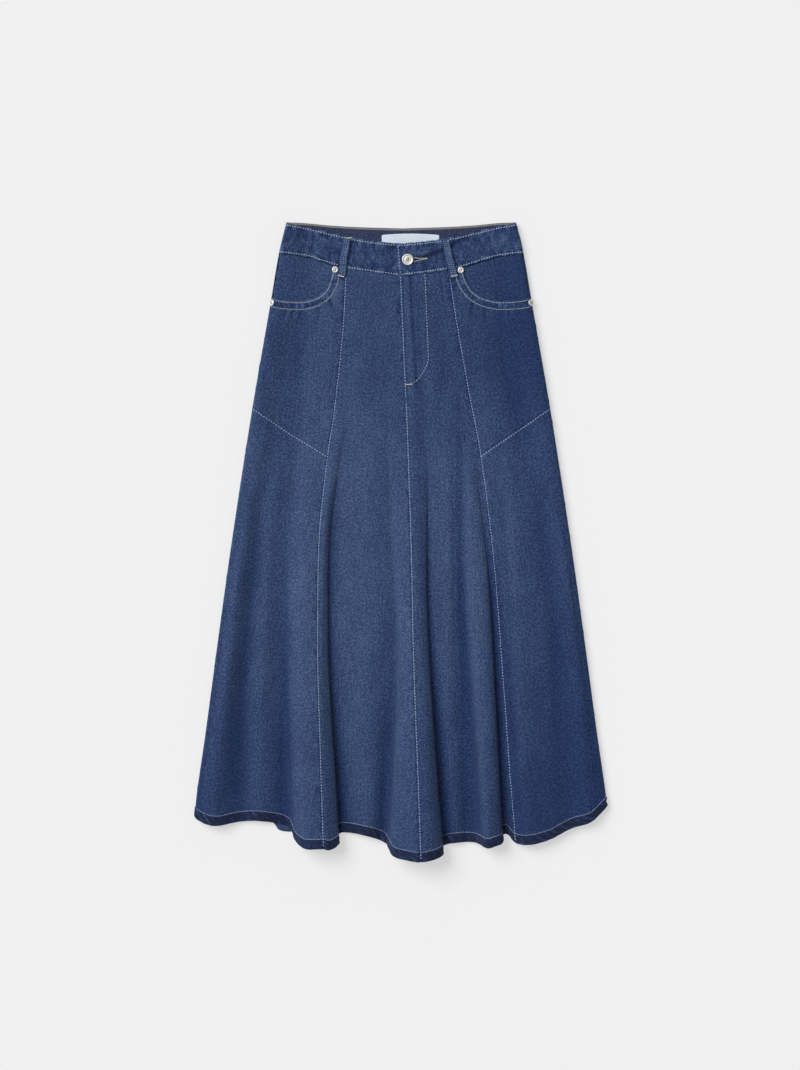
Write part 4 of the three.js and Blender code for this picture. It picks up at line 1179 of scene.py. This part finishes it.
def thread(name, colour):
    """Twisted thread in a colour, worn to half of it here and there."""
    finish, tree, shader = new_finish(name, {"Roughness": 0.6, "Sheen Weight": 0.3})
    worn = unevenness(tree, object_place(tree), (14, 14), 3)
    twist = unevenness(tree, object_place(tree), (0.5, 0.5), 1)
    dull = tuple(c * 0.5 for c in colour[:3]) + (1,)
    share = formula(tree, "MULTIPLY_ADD", worn, 1.1, formula(tree, "MULTIPLY_ADD", twist, 0.4, -0.45))
    tree.links.new(shift(tree, colour, dull, clamped(tree, share)), shader.inputs["Base Color"])
    bump, = nodes_of(tree, "Bump")
    bump.inputs["Distance"].default_value = 0.0001
    tree.links.new(twist, bump.inputs["Height"])
    tree.links.new(bump.outputs["Normal"], shader.inputs["Normal"])
    return finish


pale_thread, tan_thread, white_thread, edge_thread = (thread(name, colour) for name, colour in THREADS.items())


def ring_faces(rings, sides):
    """The faces between rings of points, each with that many sides."""
    pairs = [(i * sides + k, i * sides + (k + 1) % sides) for i in range(rings - 1) for k in range(sides)]
    return [(a, b, b + sides, a + sides) for a, b in pairs]


def rods(name, starts, ends, normals, finish, width=STITCH["width"], height=STITCH["height"]):
    """One mesh of many small stitches, each from a start to an end on the cloth."""
    starts, ends, normals = (np.asarray(v, float) for v in (starts, ends, normals))
    ahead = ends - starts
    sideways = unit(np.cross(normals, unit(ahead)))
    rings = []
    for s, size, lift in ROD_RINGS:
        centre = starts + ahead * s + normals * lift * height
        for k in range(ROD_SIDES):
            angle = 2 * math.pi * k / ROD_SIDES
            rings.append(centre + sideways * math.cos(angle) * size * width / 2
                         + normals * math.sin(angle) * size * height / 2)
    points = np.stack(rings, 1)
    count = len(ROD_RINGS) * ROD_SIDES
    faces = ring_faces(len(ROD_RINGS), ROD_SIDES)
    faces += [tuple(range(ROD_SIDES))[::-1], tuple(range(count - ROD_SIDES, count))]
    all_faces = [tuple(i + n * count for i in face) for n in range(len(starts)) for face in faces]
    return new_piece(name, (points.reshape(-1, 3) * MM).tolist(), all_faces, finish)


def tacks(name, places, finish, width, height):
    """Stitches given one by one: a place, the way it faces, and how far off it the stitch starts and ends."""
    starts, ends, normals = zip(*((p + np.array(first), p + np.array(last), normal)
                                  for p, normal, first, last in places))
    return rods(name, starts, ends, normals, finish, width, height)


def stitch_row(name, points, normals, finish, pitch=STITCH["pitch"], length=STITCH["length"],
               width=STITCH["width"], sway=0.12):
    """Stitches along a line of places on the cloth."""
    along = run_along(points)
    count = int(along[-1] // pitch)
    begin = (np.arange(count) + 0.1) * along[-1] / count
    finish_at = begin + length * along[-1] / count / pitch

    def at(values, where):
        return np.stack([np.interp(where, along, values[:, k]) for k in range(3)], -1)

    n = unit(at(normals, begin))
    drift = np.cross(n, unit(at(points, finish_at) - at(points, begin)))
    drift = drift * (sway * wavering(np.arange(count) / 2.3, 0, len(name)))[:, None]
    return rods(name, at(points, begin) + drift, at(points, finish_at) + drift, n, finish, width)


def down_a_gore(gore, inset, t0, t1):
    """A line down a gore, inset from its left seam."""
    t = np.linspace(t0, t1, 500)
    return front_at(gore, inset / width_at(gore, t), t, ON_CLOTH)


FLY_END = FLY["length"] / GORE_LENGTH
SEAM_ROWS = {
    "stitching_princess_left": ("centre_left", 1.0, 0.002, 0.997),
    "stitching_princess_right": ("side_right", 1.0, 0.002, 0.997),
    "stitching_fly_edge": ("centre_right", 1.4, 0.002, FLY_END + 0.02),
    "stitching_centre_front": ("centre_right", 1.6, FLY_END + 0.03, 0.997),
}
for name, seam_row in SEAM_ROWS.items():
    stitch_row(name, *down_a_gore(*seam_row), pale_thread)


def j_line():
    """The fly's J: straight down beside the zip, then most of a quarter turn in to the seam."""
    radius = FLY["width"] - 0.5
    depth = np.linspace(2, FLY["length"] - FLY["width"], 60)
    angle = np.linspace(0, math.pi / 2 * 0.93, 40)[1:]
    turn = np.stack((radius * np.cos(angle), depth[-1] + radius * np.sin(angle)), -1)
    return np.vstack((np.stack((np.full(60, radius), depth), -1), turn))


CENTRE_THREAD = 818  # the length of the thread beside the centre seam
from_fly_edge, down_fly = j_line().T
down_fly = down_fly / CENTRE_THREAD
j_row = front_at("centre_right", from_fly_edge / width_at("centre_right", down_fly), down_fly, ON_CLOTH)
stitch_row("stitching_fly_j", *j_row, pale_thread)

for side in ("left", "right"):
    gore = "side_" + side
    share = np.linspace(0.004, 0.996, 200)
    seam = front_at(gore, share, hip_seam_share(gore, share) + 1.9 / GORE_LENGTH, ON_CLOTH)
    stitch_row(f"stitching_hip_{side}", *seam, pale_thread)
    for row_name, inset in zip(("edge", "inner"), MOUTH_ROWS):
        share, drop = mouth_line(gore, inset)
        keep = (share >= 0.0) & (share <= 1.0)
        share, drop = share[keep], drop[keep]
        t = share_down(gore, share, drop)
        height, _, _ = mouth_relief(gore, share[None], t[None])
        points, normals = front_at(gore, share, t, ON_CLOTH)
        points = points + normals * height[0][:, None]
        keep = LENGTH / 2 - points[:, 1] > waist_seam_at(np.abs(points[:, 0])) + 1
        name = f"stitching_pocket_{side}_{row_name}"
        stitch_row(name, points[keep], normals[keep], tan_thread, 3.2, 2.7, 1.05)

for gore in GORES:
    share = np.linspace(0.002, 0.998, 600)
    hem_row = front_at(gore, share, 1 - (HEM["depth"] + 0.5) / length_at(gore, share), ON_CLOTH)
    stitch_row(f"stitching_hem_{gore}", *hem_row, edge_thread, 3.2, 2.8, 0.6)

for side in ("left", "right"):
    for row_name, row in (("top", BAND_EDGE_ROWS / BAND_DEPTH), ("seam", 1 - BAND_EDGE_ROWS / BAND_DEPTH)):
        end = band_end(row)
        share = np.linspace(-0.995, end - 0.01, 400) if side == "left" else np.linspace(end + 0.012, 0.995, 400)
        p, normal, *_ = band_face(share, np.full(share.shape, row), side == "right")
        name = f"stitching_band_{side}_{row_name}"
        stitch_row(name, p + normal * ON_BAND, normal, edge_thread, 3.7, 2.3, 1.35)
row = np.linspace(0.05, 0.95, 60)
p, normal, *_ = band_face(band_end(row) + 1.6 / BAND_WIDTH, row, True)
stitch_row("stitching_band_end", p + normal * ON_BAND, normal, pale_thread)

# the loops' own stitching, three rows of short slanted stitches
LOOP_ROWS = ((4, 1), (9, -1), (14, 1))  # the column of the loop's face, and the way that the stitches slant
for name, face in loop_faces.items():
    end = len(face) - 1
    slanted = [(face[int(s * end), column], (0, 0, 1), (-0.8 * slant, 0.6, 0.1), (0.8 * slant, -0.6, 0.1))
               for column, slant in LOOP_ROWS for s in np.linspace(0.06, 0.94, 17)]
    tacks("stitching_" + name, slanted, pale_thread, 0.55, 0.35)

# Bartacks: a few millimetres of thread laid side by side where the strain is, at the loops' ends and at the
# foot of the fly. Each row is its two ends as x and drop, and its thread.
BARTACKS = {
    "bartack_loop_left_top": ((-77.5, 21.2), (-69.5, 20.6), white_thread),
    "bartack_loop_left_foot": ((-88.5, 73.6), (-80.5, 75.4), white_thread),
    "bartack_loop_right_top": ((57.5, 25.2), (65.5, 24.6), pale_thread),
    "bartack_loop_right_foot": ((70.0, 75.2), (78.5, 73.4), white_thread),
    "bartack_fly": ((6.2, 226.5), (15.5, 225.8), white_thread),
}
for name, (start, end, finish) in BARTACKS.items():
    seat = LOOP["wall"] + 0.25 if "loop" in name else 0
    side_by_side = [(*top_face(start[0] + (end[0] - start[0]) * s, start[1] + (end[1] - start[1]) * s),
                     (-0.15, 1.0, seat + 0.1), (0.15, -1.0, seat + 0.1)) for s in np.linspace(0, 1, 11)]
    tacks(name, side_by_side, finish, 0.85, 0.5)

# The button and the rivets: stamped brass with an aged silver finish, turned on a lathe here. The rivets clamp
# the ends of the pocket mouths; the side ones sit on the fold, so they face outwards.
SILVER = (0.84, 0.83, 0.78, 1)
TARNISH = (0.11, 0.10, 0.085, 1)
BUTTON = {"x": 9, "drop": 51.5}
# Each row is a radius, a height and how tarnished the metal is there
BUTTON_PROFILE = (
    (0, 0, 0.2), (6.4, 0, 0.2), (7.5, 0.25, 0.2), (7.9, 0.8, 0.15), (7.95, 1.5, 0.1), (7.7, 2.15, 0.05),
    (7.2, 2.5, 0), (6.8, 2.52, 0), (6.35, 2.3, 0.2), (6.0, 1.95, 0.4), (5.3, 1.85, 0.15), (3.8, 1.8, 0.1),
    (3.4, 2.05, 0.05), (2.9, 2.1, 0.25), (2.6, 1.8, 0.7), (2.1, 1.65, 0.9), (1.7, 2.1, 0.6),
    (1.1, 2.4, 0.35), (0, 2.5, 0.9),
)
RIVET_PROFILE = (
    (0, 0, 0.2), (4.1, 0, 0.2), (4.35, 0.2, 0.1), (4.3, 0.6, 0), (3.9, 1.05, 0), (3.3, 1.25, 0),
    (2.6, 1.2, 0.05), (2.2, 0.95, 0.5), (1.7, 0.85, 0.9), (1.4, 1.1, 0.5), (0.9, 1.65, 0.2), (0, 1.8, 0.7),
)
RIVETS = {
    "rivet_left_inner": (-92.6, 65.4), "rivet_right_inner": (83.4, 66),
    "rivet_left_side": (-181.1, 112), "rivet_right_side": (181.1, 112),
}


def aged_silver():
    """Silver that is tarnished in the hollows its mesh marks, and in small spots."""
    finish, tree, shader = new_finish("metal", {"Metallic": 0.4})
    spots = unevenness(tree, object_place(tree), (1.6, 1.6), 4)
    hollow, = nodes_of(tree, "Attribute")
    hollow.attribute_name = "hollow"
    share = formula(tree, "MULTIPLY_ADD", formula(tree, "SUBTRACT", spots, 0.5), 0.5, hollow.outputs["Fac"])
    tree.links.new(shift(tree, SILVER, TARNISH, clamped(tree, share)), shader.inputs["Base Color"])
    tree.links.new(formula(tree, "MULTIPLY_ADD", spots, 0.3, 0.28), shader.inputs["Roughness"])
    return finish


silver = aged_silver()


def turned(name, profile, place, normal, node, sides):
    """A profile of radius and height turned about the cloth's own normal at a place."""
    axis = Vector(normal).normalized()
    turn = axis.to_track_quat("Z", "Y").to_matrix()
    points, hollow = [], []
    rings = profile[1:-1]
    for r, h, tarnish in rings:
        for k in range(sides):
            angle = 2 * math.pi * k / sides
            local = turn @ Vector((r * math.cos(angle), r * math.sin(angle), h))
            points.append(tuple((Vector(place) + local) * MM))
            hollow.append(tarnish)
    faces = ring_faces(len(rings), sides)
    for ring, (_, h, tarnish), flip in ((0, profile[0], True), (len(rings) - 1, profile[-1], False)):
        points.append(tuple((Vector(place) + axis * h) * MM))
        hollow.append(tarnish)
        tip = len(points) - 1
        for k in range(sides):
            a, b = ring * sides + k, ring * sides + (k + 1) % sides
            faces.append((tip, b, a) if flip else (tip, a, b))
    piece = new_piece(name, points, faces, silver, [node])
    piece.data.attributes.new("hollow", "FLOAT", "POINT").data.foreach_set("value", hollow)


BUTTON_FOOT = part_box("button")[0][2] / MM
button_place = (BUTTON["x"], LENGTH / 2 - BUTTON["drop"], BUTTON_FOOT)
turned("button_metal", BUTTON_PROFILE, button_place, (0, 0, 1), "button", 72)
for name, (x, drop) in RIVETS.items():
    p, normal = top_face(x, drop)
    turned(name + "_metal", RIVET_PROFILE, p + normal * 0.3, normal, name, 40)

# The buttonhole: worked over in buff thread along both lips, which meet at the tip. It was drawn open by the
# button, so it is wide beside it.
BUFF = (0.62, 0.56, 0.46, 1)
wide, tip = np.array(HOLE["wide"]), np.array(HOLE["tip"])
lips = []
for lip in (-1, 1):
    for s in np.linspace(0.03, 1, 26):
        open_by = HOLE["half"] * (1 - s) ** HOLE["taper"] + 0.35
        p, normal = top_face(*(wide + (tip - wide) * s + np.array((0, lip * open_by))))
        lips.append((p + normal * 0.35, normal, (-0.25, lip * 0.55, 0), (0.25, -lip * 0.75, 0)))
tacks("buttonhole_thread", lips, thread("buttonhole_buff", BUFF), 0.9, 0.9)

# The woven label, sewn to the inside of the back waistband under the opening. It is left bare, and its top edge
# bows a little between its corners.
LABEL = {"middle": 13, "width": 80, "top": 15, "height": 24, "bow": 2, "corner": 0.5, "rest": 3.05,
         "pale": (0.70, 0.80, 0.88, 1), "rib": (0.58, 0.68, 0.78, 1)}


def bare_label():
    finish, tree, shader = new_finish("tape", {"Roughness": 0.7})
    ribs = unevenness(tree, object_place(tree), (0.35, 3.0), 2)
    tree.links.new(shift(tree, LABEL["pale"], LABEL["rib"], ribs), shader.inputs["Base Color"])
    run, fall = np.linspace(-1, 1, 60)[None, :], np.linspace(0, 1, 16)[:, None]
    corner = LABEL["corner"] * np.exp(-(((1 - np.abs(run)) * LABEL["width"] / 2) / 0.8))
    drop = LABEL["top"] + LABEL["bow"] * run**2 + corner + fall * (LABEL["height"] - 2 * corner)
    x = LABEL["middle"] + run * LABEL["width"] / 2
    z = LABEL["rest"] + 0.25 * np.sin(run * 7) * (1 - fall)
    face = np.stack(np.broadcast_arrays(x, LENGTH / 2 - drop, z), -1)
    piece = cloth_wall("label_tape", face, face - np.array((0, 0, 0.5)), finish, replaces=["label"])


bare_label()
